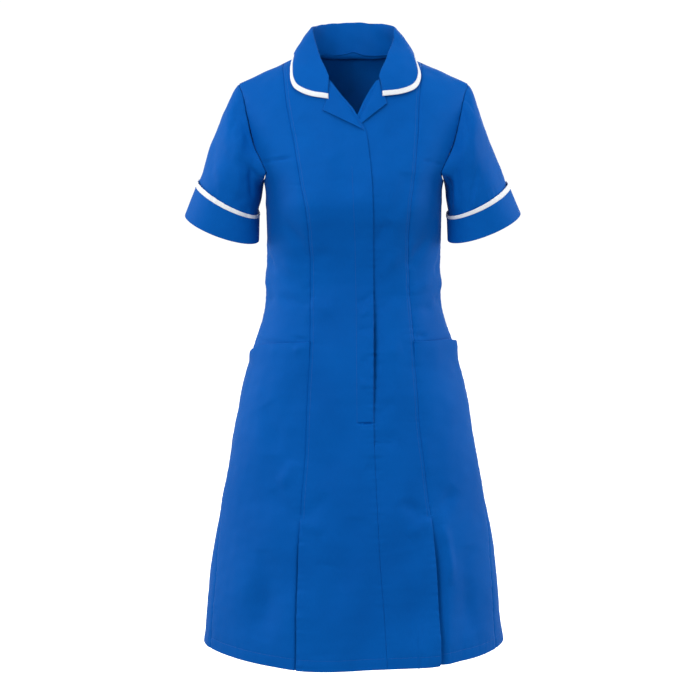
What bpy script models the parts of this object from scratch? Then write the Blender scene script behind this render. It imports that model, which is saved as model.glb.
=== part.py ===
"""A nurse's uniform dress, hollow as when it is worn.

Princess panels from shoulder to hem, a concealed front closure under an overlapping right front,
turned-out lapels, a collar and turned-back cuffs with white bindings, hip pockets whose mouths are
the upper edges of the side skirts, and a kick pleat low in each front princess seam.

Metres, +Z up. The wearer faces -Y and the wearer's right is -X. The origin is between the tops of
the shoulders, where the wearer's shoulders carry the dress.
"""

import math
from collections import namedtuple

import bmesh
import bpy
from mathutils import Vector

# ---- driving dimensions ----

CLOTH = 0.0010           # one layer of cloth
SEAM_GAP = 0.0003        # between pieces that are sewn edge to edge
CURVED_GAP = 0.0008      # the same where the cloth turns sharply at the seam
LAYER_GAP = 0.0005       # between layers of cloth that lie on each other
ARMHOLE_GAP = 0.0010     # between the bodice and the sleeve at the armhole seam
BINDING_WIDTH = 0.0085   # white binding on the collar and the cuffs
CUFF_LIFT = 0.0024       # the cuff stands off the sleeve by this
CUFF_WALL = 0.0012
PLEAT_DEPTH = 0.036      # cloth folded back under each kick pleat
PLEAT_RISE = {-1: 0.0015, 1: 0.0050}   # the fold stands proud by this at the hem
UNDERLAP = 0.045         # the left front reaches this far under the right front's edge
SET_BACK = 0.0036        # and lies this far behind it
EDGE_STAND = 0.0022      # the overlapping edge stands off by this between waist and hip
POCKET_GAPE = {-1: 0.0030, 1: 0.0060}  # the outer corner of each pocket mouth stands off by this
BUST_RISE = 0.006        # fullness over each bust point, given by the darts
BUST_HEIGHT = -0.225
BUST_OUT = 0.080
BUST_REACH = 0.055
HOLLOW_MIDDLE = 0.024    # the skirt front hangs back between its two pleats, about this line
HOLLOW_REACH = 0.125

RIGHT, LEFT = -1, 1      # the wearer's right and left

# The body of the dress, a superellipse at each level. A section slopes from level at the centre
# to side_level at the side; front and back are its depths from the middle line.
Section = namedtuple("Section", "level side_level half_width front back middle square hollow")
SECTIONS = [
    Section(-0.996, -0.988, 0.2600, 0.198, 0.195, 0.020, 1.80, 0.026),   # hem
    Section(-0.870, -0.866, 0.2465, 0.178, 0.180, 0.018, 1.92, 0.016),
    Section(-0.745, -0.745, 0.2275, 0.157, 0.165, 0.015, 2.05, 0.006),   # top of the pleats
    Section(-0.620, -0.620, 0.2050, 0.138, 0.150, 0.012, 2.20, 0.000),   # end of the closure
    Section(-0.540, -0.540, 0.1890, 0.129, 0.138, 0.010, 2.20, 0.000),   # hip
    Section(-0.470, -0.470, 0.1690, 0.121, 0.122, 0.008, 2.20, 0.000),
    Section(-0.410, -0.410, 0.1508, 0.110, 0.102, 0.006, 2.20, 0.000),
    Section(-0.350, -0.350, 0.1465, 0.102, 0.088, 0.004, 2.25, 0.000),   # waist
    Section(-0.290, -0.290, 0.1465, 0.115, 0.092, 0.002, 2.35, 0.000),
    Section(-0.235, -0.235, 0.1468, 0.132, 0.100, 0.000, 2.45, 0.000),   # bust
    Section(-0.195, -0.195, 0.1500, 0.131, 0.103, 0.000, 2.50, 0.000),   # underarm
    Section(-0.150, -0.165, 0.1680, 0.124, 0.103, 0.000, 2.50, 0.000),
    Section(-0.095, -0.130, 0.1830, 0.108, 0.103, 0.000, 2.50, 0.000),
    Section(-0.040, -0.098, 0.1940, 0.091, 0.099, 0.002, 2.45, 0.000),
    Section(0.005, -0.070, 0.2000, 0.070, 0.087, 0.004, 2.40, 0.000),
    Section(0.040, -0.050, 0.2030, 0.038, 0.052, 0.005, 2.35, 0.000),
    Section(0.054, -0.039, 0.2040, 0.000, 0.000, 0.005, 2.30, 0.000),    # shoulder seam
]
PLEAT_ROW, CLOSURE_ROW, UNDERARM_ROW, SHOULDER_ROW = 2, 3, 10, len(SECTIONS) - 1
POCKET_ROW, HIP_ROW, BREAK_ROW, GORGE_ROW = 5.25, 4.5, 11.8, 13.6
TOP_ROW = SHOULDER_ROW - 0.012   # the shoulder seams, with half a gap

# Rows of points in every panel, counted in sections from the hem.
SKIRT_ROWS = [0, 0.25, 0.5, 0.75, 1, 1.33, 1.67, 2, 2.33, 2.67, 3, 3.5, 4, HIP_ROW, POCKET_ROW]
BODICE_ROWS = [6, 6.5, 7, 7.5, 8, 8.5, 9, 9.5]
ARMHOLE_ROWS = [10, 10.1, 10.3, 10.6, 11, BREAK_ROW, 12.3, 12.9, GORGE_ROW, 14.4, 15.2, TOP_ROW]
ROWS = SKIRT_ROWS + BODICE_ROWS + ARMHOLE_ROWS

# Front princess seams: distance from the middle plane at each level.
Princess = namedtuple("Princess", "level right left")
PRINCESS = [
    Princess(-0.996, 0.0950, 0.1430),
    Princess(-0.870, 0.0930, 0.1395),
    Princess(-0.745, 0.0885, 0.1290),
    Princess(-0.620, 0.0800, 0.1130),
    Princess(-0.540, 0.0770, 0.1065),
    Princess(-0.450, 0.0722, 0.1000),
    Princess(-0.360, 0.0722, 0.0926),
    Princess(-0.285, 0.0740, 0.0912),
    Princess(-0.235, 0.0780, 0.0935),
    Princess(-0.195, 0.0860, 0.0985),
    Princess(-0.135, 0.0945, 0.1025),
    Princess(-0.085, 0.1024, 0.1060),
    Princess(-0.016, 0.1122, 0.1092),
    Princess(0.054, 0.1180, 0.1140),
]

# Inner edges of the two centre fronts. From the hem up: the centre seam, the closure's edge and
# the roll line of the lapel from the break to the gorge, where the collar's neck seam takes over.
Opening = namedtuple("Opening", "level right left")
OPENING = [
    Opening(-0.996, 0.0560, 0.0560),
    Opening(-0.915, 0.0513, 0.0513),
    Opening(-0.810, 0.0433, 0.0433),
    Opening(-0.640, 0.0351, 0.0351),
    Opening(-0.585, 0.0329, 0.0329),
    Opening(-0.285, 0.0322, 0.0322),
    Opening(-0.203, 0.0303, -0.0130),
    Opening(-0.136, 0.0247, -0.0080),
    Opening(-0.105, 0.0199, -0.0020),
    Opening(-0.081, 0.0053, 0.0060),
    Opening(-0.041, -0.0222, 0.0230),
    Opening(-0.011, -0.0402, 0.0390),
]

# Angle, from straight ahead to straight behind, of the armhole's front and back edges.
Armhole = namedtuple("Armhole", "row front back")
ARMHOLE = [
    Armhole(10.0, 90, 90),
    Armhole(10.1, 80, 98),
    Armhole(10.3, 69, 105),
    Armhole(10.6, 61, 110),
    Armhole(11.0, 60, 113),
    Armhole(11.8, 62, 115),
    Armhole(12.9, 61, 116),
    Armhole(14.4, 63, 115),
    Armhole(15.2, 66, 113),
    Armhole(16.0, 68, 112),
]

# The side seams swing forward of the side towards the hem.
SideSeam = namedtuple("SideSeam", "level angle")
SIDE_SEAM = [SideSeam(-0.996, 71), SideSeam(-0.870, 74), SideSeam(-0.745, 81), SideSeam(-0.620, 90)]

# Pocket mouths: row of the mouth against the share of the way from princess seam to side seam.
PocketMouth = namedtuple("PocketMouth", "share right left")
POCKET_MOUTH = [
    PocketMouth(0.0, POCKET_ROW, POCKET_ROW),
    PocketMouth(0.5, 5.12, 5.22),
    PocketMouth(0.8, 4.92, 5.12),
    PocketMouth(1.0, 4.70, 5.02),
]

# Sleeves: the outer and inner ends of each ring as seen from the front, its front-to-back middle
# and half depth, and how far its front hangs below its middle.
Ring = namedtuple("Ring", "outer_x outer_z inner_x inner_z middle half_depth front_drop")
SLEEVE_RINGS = {
    RIGHT: [
        Ring(0.2144, -0.076, 0.1540, -0.208, -0.004, 0.070, 0.004),
        Ring(0.2382, -0.132, 0.1570, -0.229, -0.006, 0.066, 0.007),
        Ring(0.2578, -0.194, 0.1600, -0.248, -0.008, 0.059, 0.010),     # upper edge of the cuff
        Ring(0.2815, -0.252, 0.1625, -0.294, -0.010, 0.053, 0.012),     # lower edge of the cuff
    ],
    LEFT: [
        Ring(0.2100, -0.076, 0.1540, -0.208, -0.004, 0.070, 0.004),
        Ring(0.2300, -0.132, 0.1570, -0.229, -0.006, 0.066, 0.007),
        Ring(0.2562, -0.198, 0.1590, -0.249, -0.008, 0.059, 0.010),
        Ring(0.2780, -0.249, 0.1610, -0.293, -0.010, 0.053, 0.012),
    ],
}
SLEEVE_ROWS = [3.95, 3, 2, 1.2, 0.7, 0.3, 0]
CUFF_TOP, CUFF_END = 3.0, 4.0
BINDING_SHARE = BINDING_WIDTH / 0.058

# The collar, station by station from the centre back to the front end: the neck seam and the
# outer edge as places in plan, and the roll line in space.
Station = namedtuple("Station", "seam_x seam_y roll_x roll_y stand edge_x edge_y")
COLLAR = [
    Station(0.0000, 0.0780, 0.0000, 0.0820, 0.0475, 0.0000, 0.0865),
    Station(0.0300, 0.0716, 0.0280, 0.0785, 0.0520, 0.0360, 0.0770),
    Station(0.0555, 0.0529, 0.0520, 0.0610, 0.0490, 0.0700, 0.0615),
    Station(0.0700, 0.0273, 0.0670, 0.0300, 0.0425, 0.0920, 0.0370),
    Station(0.0732, 0.0120, 0.0675, 0.0130, 0.0360, 0.1005, 0.0060),
    Station(0.0715, -0.0010, 0.0660, -0.0020, 0.0260, 0.1025, -0.0160),
    Station(0.0660, -0.0175, 0.0625, -0.0180, 0.0150, 0.1060, -0.0380),
    Station(0.0605, -0.0365, 0.0575, -0.0370, 0.0110, 0.1050, -0.0560),
    Station(0.0555, -0.0505, 0.0530, -0.0510, 0.0085, 0.0960, -0.0690),
    Station(0.0490, -0.0630, 0.0470, -0.0635, 0.0070, 0.0730, -0.0810),
    Station(0.0420, -0.0752, 0.0405, -0.0755, 0.0060, 0.0434, -0.0895),
]
SHOULDER_STATION = 4     # the last one behind the shoulder seam
COLLAR_TURN = 0.0030     # the leaves' edges sit this much towards the wearer's left
COLLAR_LIFT = 0.0036     # the collar lies this far off the shoulders
COLLAR_BULGE = 0.008     # fullness of the fall between roll and edge
BULGE_SHARE = 0.16       # and at most this share of a shorter fall's length
ROLL_RADIUS = 0.0020

# Lapels: the four corners of each, across and up, seen from the front.
Lapel = namedtuple("Lapel", "break_x break_z gorge_x gorge_z notch_x notch_z tip_x tip_z roll_bow")
LAPELS = {
    RIGHT: Lapel(0.0185, -0.1085, -0.0392, -0.0270, -0.0425, -0.0575, -0.0500, -0.0760, 0.0030),
    LEFT: Lapel(-0.0005, -0.1060, 0.0405, -0.0250, 0.0490, -0.0505, 0.0540, -0.0645, -0.0015),
}
LAPEL_LIFT = 0.0014


# ---- curves through tables ----

def read(table, at, column):
    """Value of a column at a place in the table's first column, on a curve that never overshoots."""
    keys = [entry[0] for entry in table]
    values = [getattr(entry, column) for entry in table]
    at = min(max(at, keys[0]), keys[-1])
    slopes = [(values[i + 1] - values[i]) / (keys[i + 1] - keys[i]) for i in range(len(keys) - 1)]
    index = min(sum(1 for key in keys[1:] if key <= at), len(slopes) - 1)

    def tangent(i):
        if i == 0 or i == len(slopes):
            return slopes[min(i, len(slopes) - 1)]
        before, after = slopes[i - 1], slopes[i]
        return 2 * before * after / (before + after) if before * after > 0 else 0.0

    width = keys[index + 1] - keys[index]
    part = (at - keys[index]) / width
    rise = values[index + 1] - values[index]
    start, end = tangent(index) * width, tangent(index + 1) * width
    return (values[index] + part * start + part ** 2 * (3 * rise - 2 * start - end)
            + part ** 3 * (start + end - 2 * rise))


def spline(part, before, start, end, after):
    """Point on the smooth curve from start to end."""
    return 0.5 * (2 * start + (end - before) * part
                  + (2 * before - 5 * start + 4 * end - after) * part ** 2
                  + (3 * start - before - 3 * end + after) * part ** 3)


def smooth(share):
    share = min(max(share, 0.0), 1.0)
    return share * share * (3 - 2 * share)


def bump(at, start, end):
    """Nought at start and end, one half way between."""
    share = min(max((at - start) / (end - start), 0.0), 1.0)
    return math.sin(math.pi * share) ** 2


def mix(first, second, share):
    return first + (second - first) * share


# ---- the body surface ----

def padded_sections():
    """The sections, with one more at each end to carry the curve through the hem and the seam."""
    hem, above = SECTIONS[0], SECTIONS[1]
    below = Section(*(2 * first - second for first, second in zip(hem, above)))
    near = SECTIONS[-2]
    beyond = near._replace(front=-near.back, back=-near.front)
    return [below] + SECTIONS + [beyond]


PADDED = padded_sections()


def section(row):
    index = min(int(row), len(SECTIONS) - 2)
    four = PADDED[index:index + 4]
    return Section(*(spline(row - index, *values) for values in zip(*four)))


def surface(row, turn):
    """Point of the body at a row and an angle: 0 is straight ahead, 90 the wearer's left."""
    here = section(row)
    sine, cosine = math.sin(math.radians(turn)), math.cos(math.radians(turn))
    out = abs(sine) ** (2 / here.square)
    deep = abs(cosine) ** (2 / here.square)
    x = math.copysign(here.half_width * out, sine)
    z = here.level + (here.side_level - here.level) * out
    if cosine < 0:
        return Vector((x, here.middle + here.back * deep, z))
    inward = here.hollow * math.cos(math.pi / 2 * min(abs(x - HOLLOW_MIDDLE) / HOLLOW_REACH, 1)) ** 2
    away = ((abs(x) - BUST_OUT) ** 2 + (here.level - BUST_HEIGHT) ** 2) / BUST_REACH ** 2
    bust = BUST_RISE * math.exp(-away)
    return Vector((x, here.middle - here.front * deep + inward - bust, z))


def place(row, turn, lift=0.0):
    """Point of the body moved out along the surface's normal."""
    if row >= TOP_ROW:
        # the shoulder seam's gap is as wide at the tip as at the neck
        row = SHOULDER_ROW - (SHOULDER_ROW - TOP_ROW) / max(abs(math.cos(math.radians(turn))), 0.35)
    point = surface(row, turn)
    if not lift:
        return point
    low, high = max(row - 0.05, 0), min(row + 0.05, SHOULDER_ROW)
    up = surface(high, turn) - surface(low, turn)
    along = surface(row, turn + 1) - surface(row, turn - 1)
    return point + along.cross(up).normalized() * lift


def turn_of(row, x, behind=False):
    """Angle at which a row of the body reaches x, in front or behind."""
    here = section(row)
    share = min(abs(x) / here.half_width, 1.0)
    angle = math.degrees(math.asin(share ** (here.square / 2)))
    return math.copysign(180 - angle if behind else angle, x)


def row_where(measure, goal, low, high):
    """Row between low and high where a measure that grows with the row reaches its goal."""
    for _ in range(40):
        middle = (low + high) / 2
        if measure(middle) < goal:
            low = middle
        else:
            high = middle
    return (low + high) / 2


def row_over(x, y):
    """Row of the body at a place in plan on the shoulders or the chest."""
    behind = y > SECTIONS[-1].middle
    sign = -1 if behind else 1
    return row_where(lambda r: sign * surface(r, turn_of(r, x, behind)).y, sign * y, 9, SHOULDER_ROW)


def over(x, y, lift):
    """Point above that place, lifted off the body."""
    row = row_over(x, y)
    return place(row, turn_of(row, x, y > SECTIONS[-1].middle), lift)


def ahead(x, z, lift):
    """Point of the front seen straight ahead at x and z, lifted off the body by lift(row, x)."""
    row = row_where(lambda r: surface(r, turn_of(r, x)).z, z, 0, SHOULDER_ROW)
    return place(row, turn_of(row, x), lift(row, x))


# ---- seam lines ----

def princess(side, row):
    return side * read(PRINCESS, section(row).level, "left" if side > 0 else "right")


def neckline():
    """Distance of the front neckline from the middle plane at each level, from the collar's seam."""
    entries = []
    for station in reversed(COLLAR[SHOULDER_STATION + 1:]):
        row = row_over(station.seam_x, station.seam_y)
        entries.append(Opening(section(row).level, -station.seam_x, station.seam_x))
    shoulder = COLLAR[SHOULDER_STATION].seam_x
    return entries + [Opening(SECTIONS[-1].level, -shoulder, shoulder)]


NECKLINE = neckline()


def opening(side, row):
    level = section(row).level
    return read(NECKLINE if row > GORGE_ROW else OPENING, level, "left" if side > 0 else "right")


def side_angle(row, edge):
    """Angle of the side seam, or above it of the armhole's front or back edge."""
    if row > UNDERARM_ROW:
        return read(ARMHOLE, row, edge)
    return read(SIDE_SEAM, section(row).level, "angle")


def seam_gap(row):
    """Seam gap at a row: wider over the bust and near the hem, where the cloth turns sharply."""
    return SEAM_GAP if 4 < row < 8 else CURVED_GAP


def gap_angle(row, gap):
    """Angle that half a seam gap takes up."""
    return math.degrees(gap / 2 / section(row).half_width)


# ---- lifts ----

def pleat_rise(side, row):
    return PLEAT_RISE[side] * smooth((PLEAT_ROW + 0.4 - row) / 2.4)


def fold_lift(side, row, x):
    return pleat_rise(side, row) * smooth(1 - abs(princess(side, row) - x) / 0.05)


def edge_stand(row, x):
    near = smooth(1 - (opening(RIGHT, row) - x) / 0.035)
    return EDGE_STAND * near * bump(section(row).level, -0.60, -0.28)


def set_back(row, x):
    """The left front dives behind the right front towards the opening."""
    if row < CLOSURE_ROW:
        return 0.0
    fade = smooth((-0.012 - section(row).level) / 0.080)
    reach = opening(RIGHT, min(row, BREAK_ROW))
    return -SET_BACK * smooth((reach + 0.038 - x) / 0.032) * fade


def centre_lift(side, row, x):
    """How far a centre front lies off the body."""
    return fold_lift(side, row, x) + (set_back(row, x) if side == LEFT else edge_stand(row, x))


# ---- building ----

PARTS = bpy.data.collections.new("nurse_dress")


def material(name, colour, roughness):
    made = bpy.data.materials.new(name)
    made.use_nodes = True
    shader = made.node_tree.nodes["Principled BSDF"]
    shader.inputs["Base Color"].default_value = (*colour, 1)
    shader.inputs["Roughness"].default_value = roughness
    shader.inputs["Metallic"].default_value = 0.0
    return made


def sheet(name, columns, rows, point, finish, keep=None, tube=False, wall=CLOTH):
    """A grid of cells moved to point(column, row), cut down to keep, and thickened inwards."""
    cloth = bmesh.new()
    bmesh.ops.create_grid(cloth, x_segments=columns, y_segments=rows, size=0.5)
    if keep:
        spare = []
        for face in cloth.faces:
            centre = face.calc_center_median()
            if not keep(int((centre.x + 0.5) * columns), int((centre.y + 0.5) * rows)):
                spare.append(face)
        bmesh.ops.delete(cloth, geom=spare, context="FACES")
    for vert in cloth.verts:
        vert.co = point(round((vert.co.x + 0.5) * columns), round((vert.co.y + 0.5) * rows))
    if tube:
        bmesh.ops.remove_doubles(cloth, verts=cloth.verts, dist=0.00001)
    mesh = bpy.data.meshes.new(name)
    cloth.to_mesh(mesh)
    cloth.free()
    mesh.shade_smooth()
    mesh.materials.append(finish)
    made = bpy.data.objects.new(name, mesh)
    PARTS.objects.link(made)
    thick = made.modifiers.new("wall", "SOLIDIFY")
    thick.thickness = wall
    thick.offset = -1
    thick.use_even_offset = True
    return made


def centre_front(side, cloth):
    """Centre front: its outer edge is the princess seam, and from the pleat's top down a fold that
    turns back underneath. Its inner edge is the opening, the roll line and the neckline."""
    columns = 7
    under = -(2 * CLOTH + LAYER_GAP)
    turn_in = -under / 2

    def point(column, index):
        row = ROWS[index]
        step = column if side == RIGHT else columns - column
        fold = princess(side, row) - side * seam_gap(row) / 2
        inner = opening(side, row)
        if row < CLOSURE_ROW:
            inner += side * SEAM_GAP / 2
        reach = inner - fold
        if step == 0:
            return at(row, fold - side * PLEAT_DEPTH, under)
        if step == 1:
            return at(row, fold - side * turn_in, under)
        if step == 2:
            return at(row, fold, under / 2)
        if step == 3:
            return at(row, fold - side * (turn_in if row <= PLEAT_ROW else 0), 0)
        if side == LEFT and row < BREAK_ROW - 1:
            seam = opening(RIGHT, row) + SEAM_GAP / 2
            if step == columns:
                return at(row, seam - UNDERLAP, 0)
            return at(row, mix(fold, seam, (step - 3) / (columns - 4)), 0)
        if step == 4 and row <= PLEAT_ROW:
            return at(row, fold - side * PLEAT_DEPTH, 0)
        return at(row, fold + reach * (step - 3) / (columns - 3), 0)

    def at(row, x, depth):
        return place(row, turn_of(row, x), depth + centre_lift(side, row, x))

    def keep(column, index):
        step = column if side == RIGHT else columns - 1 - column
        if step < 3:
            return ROWS[index + 1] <= PLEAT_ROW
        if side == LEFT and step == columns - 1:
            return ROWS[index] >= CLOSURE_ROW
        return True

    name = "front_right" if side == RIGHT else "front_left"
    return sheet(name, columns, len(ROWS) - 1, point, cloth, keep)


def side_front(side, cloth):
    """Upper side front: from shoulder and armhole down to behind the pocket."""
    columns = 4
    rows = [row for row in ROWS if row >= CLOSURE_ROW]

    def point(column, index):
        row = rows[index]
        share = column / columns if side == LEFT else 1 - column / columns
        hidden = row < POCKET_ROW
        gap = gap_angle(row, 0.003 if hidden else seam_gap(row))
        inner = abs(turn_of(row, princess(side, row))) + gap
        outer = side_angle(row, "front") - gap
        lift = -(CLOTH + LAYER_GAP) if hidden else 0.0
        return place(row, side * mix(inner, outer, share), lift)

    name = "side_front_right" if side == RIGHT else "side_front_left"
    return sheet(name, columns, len(rows) - 1, point, cloth)


def side_skirt(side, cloth):
    """Lower side front: its upper edge is the pocket's mouth, and below the pleat's top it runs on
    under the centre front to meet the turned-back end of the pleat."""
    columns = 5
    rows = [row for row in ROWS if row <= HIP_ROW] + [POCKET_ROW]
    mouth = "left" if side == LEFT else "right"
    beneath = -(2 * CLOTH + 2 * LAYER_GAP)

    def point(column, index):
        row = rows[index]
        step = column if side == LEFT else columns - column
        pleated = row <= PLEAT_ROW
        if step == 0:
            x = princess(side, row) - side * PLEAT_DEPTH
            return place(row, turn_of(row, x), beneath + fold_lift(side, row, x))
        share = (step - 1) / (columns - 1)
        if index == len(rows) - 1:
            row = read(POCKET_MOUTH, share, mouth)
        start = princess(side, row) + side * (0.002 if pleated else seam_gap(row) / 2)
        inner = abs(turn_of(row, start))
        outer = side_angle(row, "front") - gap_angle(row, 2 * seam_gap(row))
        lift = 0.0
        if pleated and step == 1:
            lift = beneath + pleat_rise(side, row) * 0.3
        if index == len(rows) - 1:
            lift = CLOTH + 2 * LAYER_GAP + POCKET_GAPE[side] * smooth((share - 0.4) / 0.6)
        return place(row, side * mix(inner, outer, share), lift)

    def keep(column, index):
        step = column if side == LEFT else columns - 1 - column
        return step > 0 or rows[index + 1] <= PLEAT_ROW

    name = "side_skirt_right" if side == RIGHT else "side_skirt_left"
    return sheet(name, columns, len(rows) - 1, point, cloth, keep)


def back(cloth):
    """Back in one piece, from side seam to side seam."""
    half = 8
    neck = 3
    neck_x, neck_y = COLLAR[SHOULDER_STATION].seam_x, COLLAR[0].seam_y
    middle = SECTIONS[-1].middle

    def neck_row(x):
        deep = (neck_y - middle) * math.sqrt(max(1 - (x / neck_x) ** 2, 0))
        return row_where(lambda r: -surface(r, turn_of(r, x, True)).y, -middle - deep, 9, TOP_ROW)

    def point(column, index):
        row = ROWS[index]
        step = column - half
        share = abs(step) / half
        # step 3 runs up to the end of the neckline at the shoulder
        neck_share = smooth((row - 11) / 5)
        top = neck_row(neck_x * abs(step) / neck) if abs(step) < neck else TOP_ROW
        if row > 12:
            row = mix(12, top, (row - 12) / (TOP_ROW - 12))
        outer = 180 - side_angle(row, "back") - gap_angle(row, seam_gap(row))
        at_neck = 180 - turn_of(row, neck_x, True)
        if abs(step) <= neck:
            x_wise = 180 - turn_of(row, neck_x * abs(step) / neck, True) if step else 0.0
            angle = mix(outer * share, x_wise, neck_share)
        else:
            knot = mix(outer * neck / half, at_neck, neck_share)
            angle = mix(knot, outer, (abs(step) - neck) / (half - neck))
        turn = 180 + math.copysign(angle, step)
        return place(row, turn)

    return sheet("back", 2 * half, len(ROWS) - 1, point, cloth)


# ---- sleeves and cuffs ----

def armhole_point(side, index):
    """Point of the armhole seam, counted from the underarm up the front and down the back."""
    last = len(ARMHOLE_ROWS) - 1
    edge = "front" if index <= last else "back"
    row = ARMHOLE_ROWS[index if index <= last else 2 * last - index]
    point = surface(row, side * side_angle(row, edge))
    return point + Vector((side * ARMHOLE_GAP, 0, 0))


def armhole_shares(side):
    """How far round the sleeve each armhole point lies, a half turn being the top of the sleeve."""
    count = 2 * (len(ARMHOLE_ROWS) - 1)
    points = [armhole_point(side, index) for index in range(count + 1)]
    lengths = [(points[i + 1] - points[i]).length for i in range(count)]
    half = count // 2
    shares = [0.0]
    for index, length in enumerate(lengths):
        total = sum(lengths[:half]) if index < half else sum(lengths[half:])
        shares.append(shares[-1] + 0.5 * length / total)
    return shares


def ring_point(side, ring, share):
    """Point of a sleeve ring: share 0 is the inner side, a half the outer side."""
    outer = Vector((side * ring.outer_x, ring.middle, ring.outer_z))
    inner = Vector((side * ring.inner_x, ring.middle, ring.inner_z))
    forward = Vector((0, -ring.half_depth, -ring.front_drop))
    angle = 2 * math.pi * share
    return (outer + inner) / 2 + (inner - outer) / 2 * math.cos(angle) + forward * math.sin(angle)


def sleeve_surface(side, along, index, shares):
    """Point of the sleeve: along is 0 at the armhole and 4 at the lower edge of the cuff."""
    share = shares[index]
    seam = armhole_point(side, index)
    top = math.sin(math.pi * share) ** 2
    inside = seam + Vector((-side * (0.004 + 0.034 * top), 0, 0.012 - 0.016 * top))
    rings = [ring_point(side, ring, share) for ring in SLEEVE_RINGS[side]]
    line = [inside, seam] + rings + [2 * rings[-1] - rings[-2]]
    start = min(int(along), len(rings) - 1)
    return spline(along - start, *line[start:start + 4])


def sleeve_place(side, along, index, shares, lift):
    count = len(shares) - 1
    point = sleeve_surface(side, along, index, shares)
    if not lift:
        return point
    ahead_index, behind_index = (index + 1) % count, (index - 1) % count
    around = (sleeve_surface(side, along, ahead_index, shares)
              - sleeve_surface(side, along, behind_index, shares))
    down = (sleeve_surface(side, min(along + 0.1, 4), index, shares)
            - sleeve_surface(side, along - 0.1, index, shares))
    out = down.cross(around) * side
    return point + out.normalized() * lift


def sleeve_band(side, name, alongs, lift, finish, wall=CLOTH):
    """A tube round the arm between the given rings, from the lowest up."""
    shares = armhole_shares(side)
    count = len(shares) - 1

    def point(column, index):
        step = column if side == LEFT else count - column
        return sleeve_place(side, alongs[index], step % count, shares, lift)

    return sheet(name, count, len(alongs) - 1, point, finish, tube=True, wall=wall)


def sleeve(side, cloth, white):
    word = "right" if side == RIGHT else "left"
    binding_end = CUFF_TOP + BINDING_SHARE
    sleeve_band(side, "sleeve_" + word, SLEEVE_ROWS, 0.0, cloth)
    cuff = [CUFF_END, mix(binding_end, CUFF_END, 0.5), binding_end + 0.006]
    sleeve_band(side, "cuff_" + word, cuff, CUFF_LIFT, cloth, CUFF_WALL)
    sleeve_band(side, "cuff_binding_" + word, [binding_end, CUFF_TOP], CUFF_LIFT, white, CUFF_WALL)


# ---- collar and lapels ----

def collar_line(station, side):
    """The collar at one station: stand, roll and fall, from the neck seam to the outer edge."""
    seam = over(side * station.seam_x, station.seam_y, 0.0008)
    roll = Vector((side * station.roll_x, station.roll_y, seam.z + station.stand))
    turn = COLLAR_TURN * smooth(-station.edge_y / 0.05)
    edge = over(side * station.edge_x + turn, station.edge_y + side * turn / 2, COLLAR_LIFT)
    outward = edge - roll
    outward.z = 0
    outward.normalize()
    height = Vector((0, 0, ROLL_RADIUS))
    inner = roll - height
    outer = roll + outward * 2 * ROLL_RADIUS - height
    stand = [mix(seam, inner, 0.5)]
    bulge = min(COLLAR_BULGE, BULGE_SHARE * (edge - outer).length)
    control = mix(outer, edge, 0.45) + (outward * 0.6 + Vector((0, 0, 0.8))) * bulge
    fall = []
    for share in (0.33, 0.67, 1.0):
        fall.append(outer * (1 - share) ** 2 + control * 2 * share * (1 - share) + edge * share ** 2)
    return [seam] + stand + [inner, roll + outward * ROLL_RADIUS, outer] + fall


def collar(cloth, white):
    """Stand, roll and fall in one piece, with a white binding along the outer edge."""
    last = len(COLLAR) - 1
    lines = []
    for step in range(-last, last + 1):
        lines.append(collar_line(COLLAR[abs(step)], -1 if step < 0 else 1))

    def bound(line, inset):
        """The line with its last point moved back from the edge."""
        reach = line[-1] - line[-2]
        return line[-1] - reach.normalized() * inset

    def fall_point(column, index):
        line = lines[column]
        return line[index] if index < len(line) - 1 else bound(line, BINDING_WIDTH + CURVED_GAP)

    def binding_point(column, index):
        line = lines[column]
        return line[-1] if index else bound(line, BINDING_WIDTH)

    rows = len(lines[0]) - 1
    sheet("collar", 2 * last, rows, fall_point, cloth)
    sheet("collar_binding", 2 * last, 1, binding_point, white)


def lapel(side, cloth):
    """Front facing turned out from the roll line: its upper edge meets the collar's front end."""
    corners = LAPELS[side]
    columns, rows = 4, 5

    def lift(row, x):
        base = CLOTH + LAPEL_LIFT / 2 if side == LEFT else CLOTH + LAPEL_LIFT
        return base + centre_lift(side, row, x)

    def point(column, index):
        up = index / rows
        out = column / columns
        out = 1 - out if side == RIGHT else out
        roll_x = mix(corners.break_x, corners.gorge_x, up) + corners.roll_bow * math.sin(math.pi * up)
        roll_z = mix(corners.break_z, corners.gorge_z, up)
        edge_x = mix(corners.tip_x, corners.notch_x, up)
        edge_z = mix(corners.tip_z, corners.notch_z, up)
        return ahead(mix(roll_x, edge_x, out), mix(roll_z, edge_z, out), lift)

    name = "lapel_right" if side == RIGHT else "lapel_left"
    return sheet(name, columns, rows, point, cloth, wall=0.0008)


def build():
    for old in list(bpy.data.objects):
        bpy.data.objects.remove(old)
    bpy.context.scene.collection.children.link(PARTS)
    royal = material("royal_cloth", (0.012, 0.093, 0.376), 0.75)
    white = material("white_binding", (0.85, 0.86, 0.88), 0.70)
    for side in (RIGHT, LEFT):
        centre_front(side, royal)
        side_front(side, royal)
        side_skirt(side, royal)
        sleeve(side, royal, white)
        lapel(side, royal)
    back(royal)
    collar(royal, white)


build()
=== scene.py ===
"""Looks of a nurse's uniform dress, hollow as when it is worn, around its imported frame.

Every panel, sleeve and collar piece is a fine sheet of cloth on the form of its CAD node, with its
edges turned in at the seams, its folds, creases and puckers, and its stitching. Metres, +Z up, the
wearer faces -Y and the wearer's right is -X.
"""

import math
from collections import namedtuple

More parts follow.
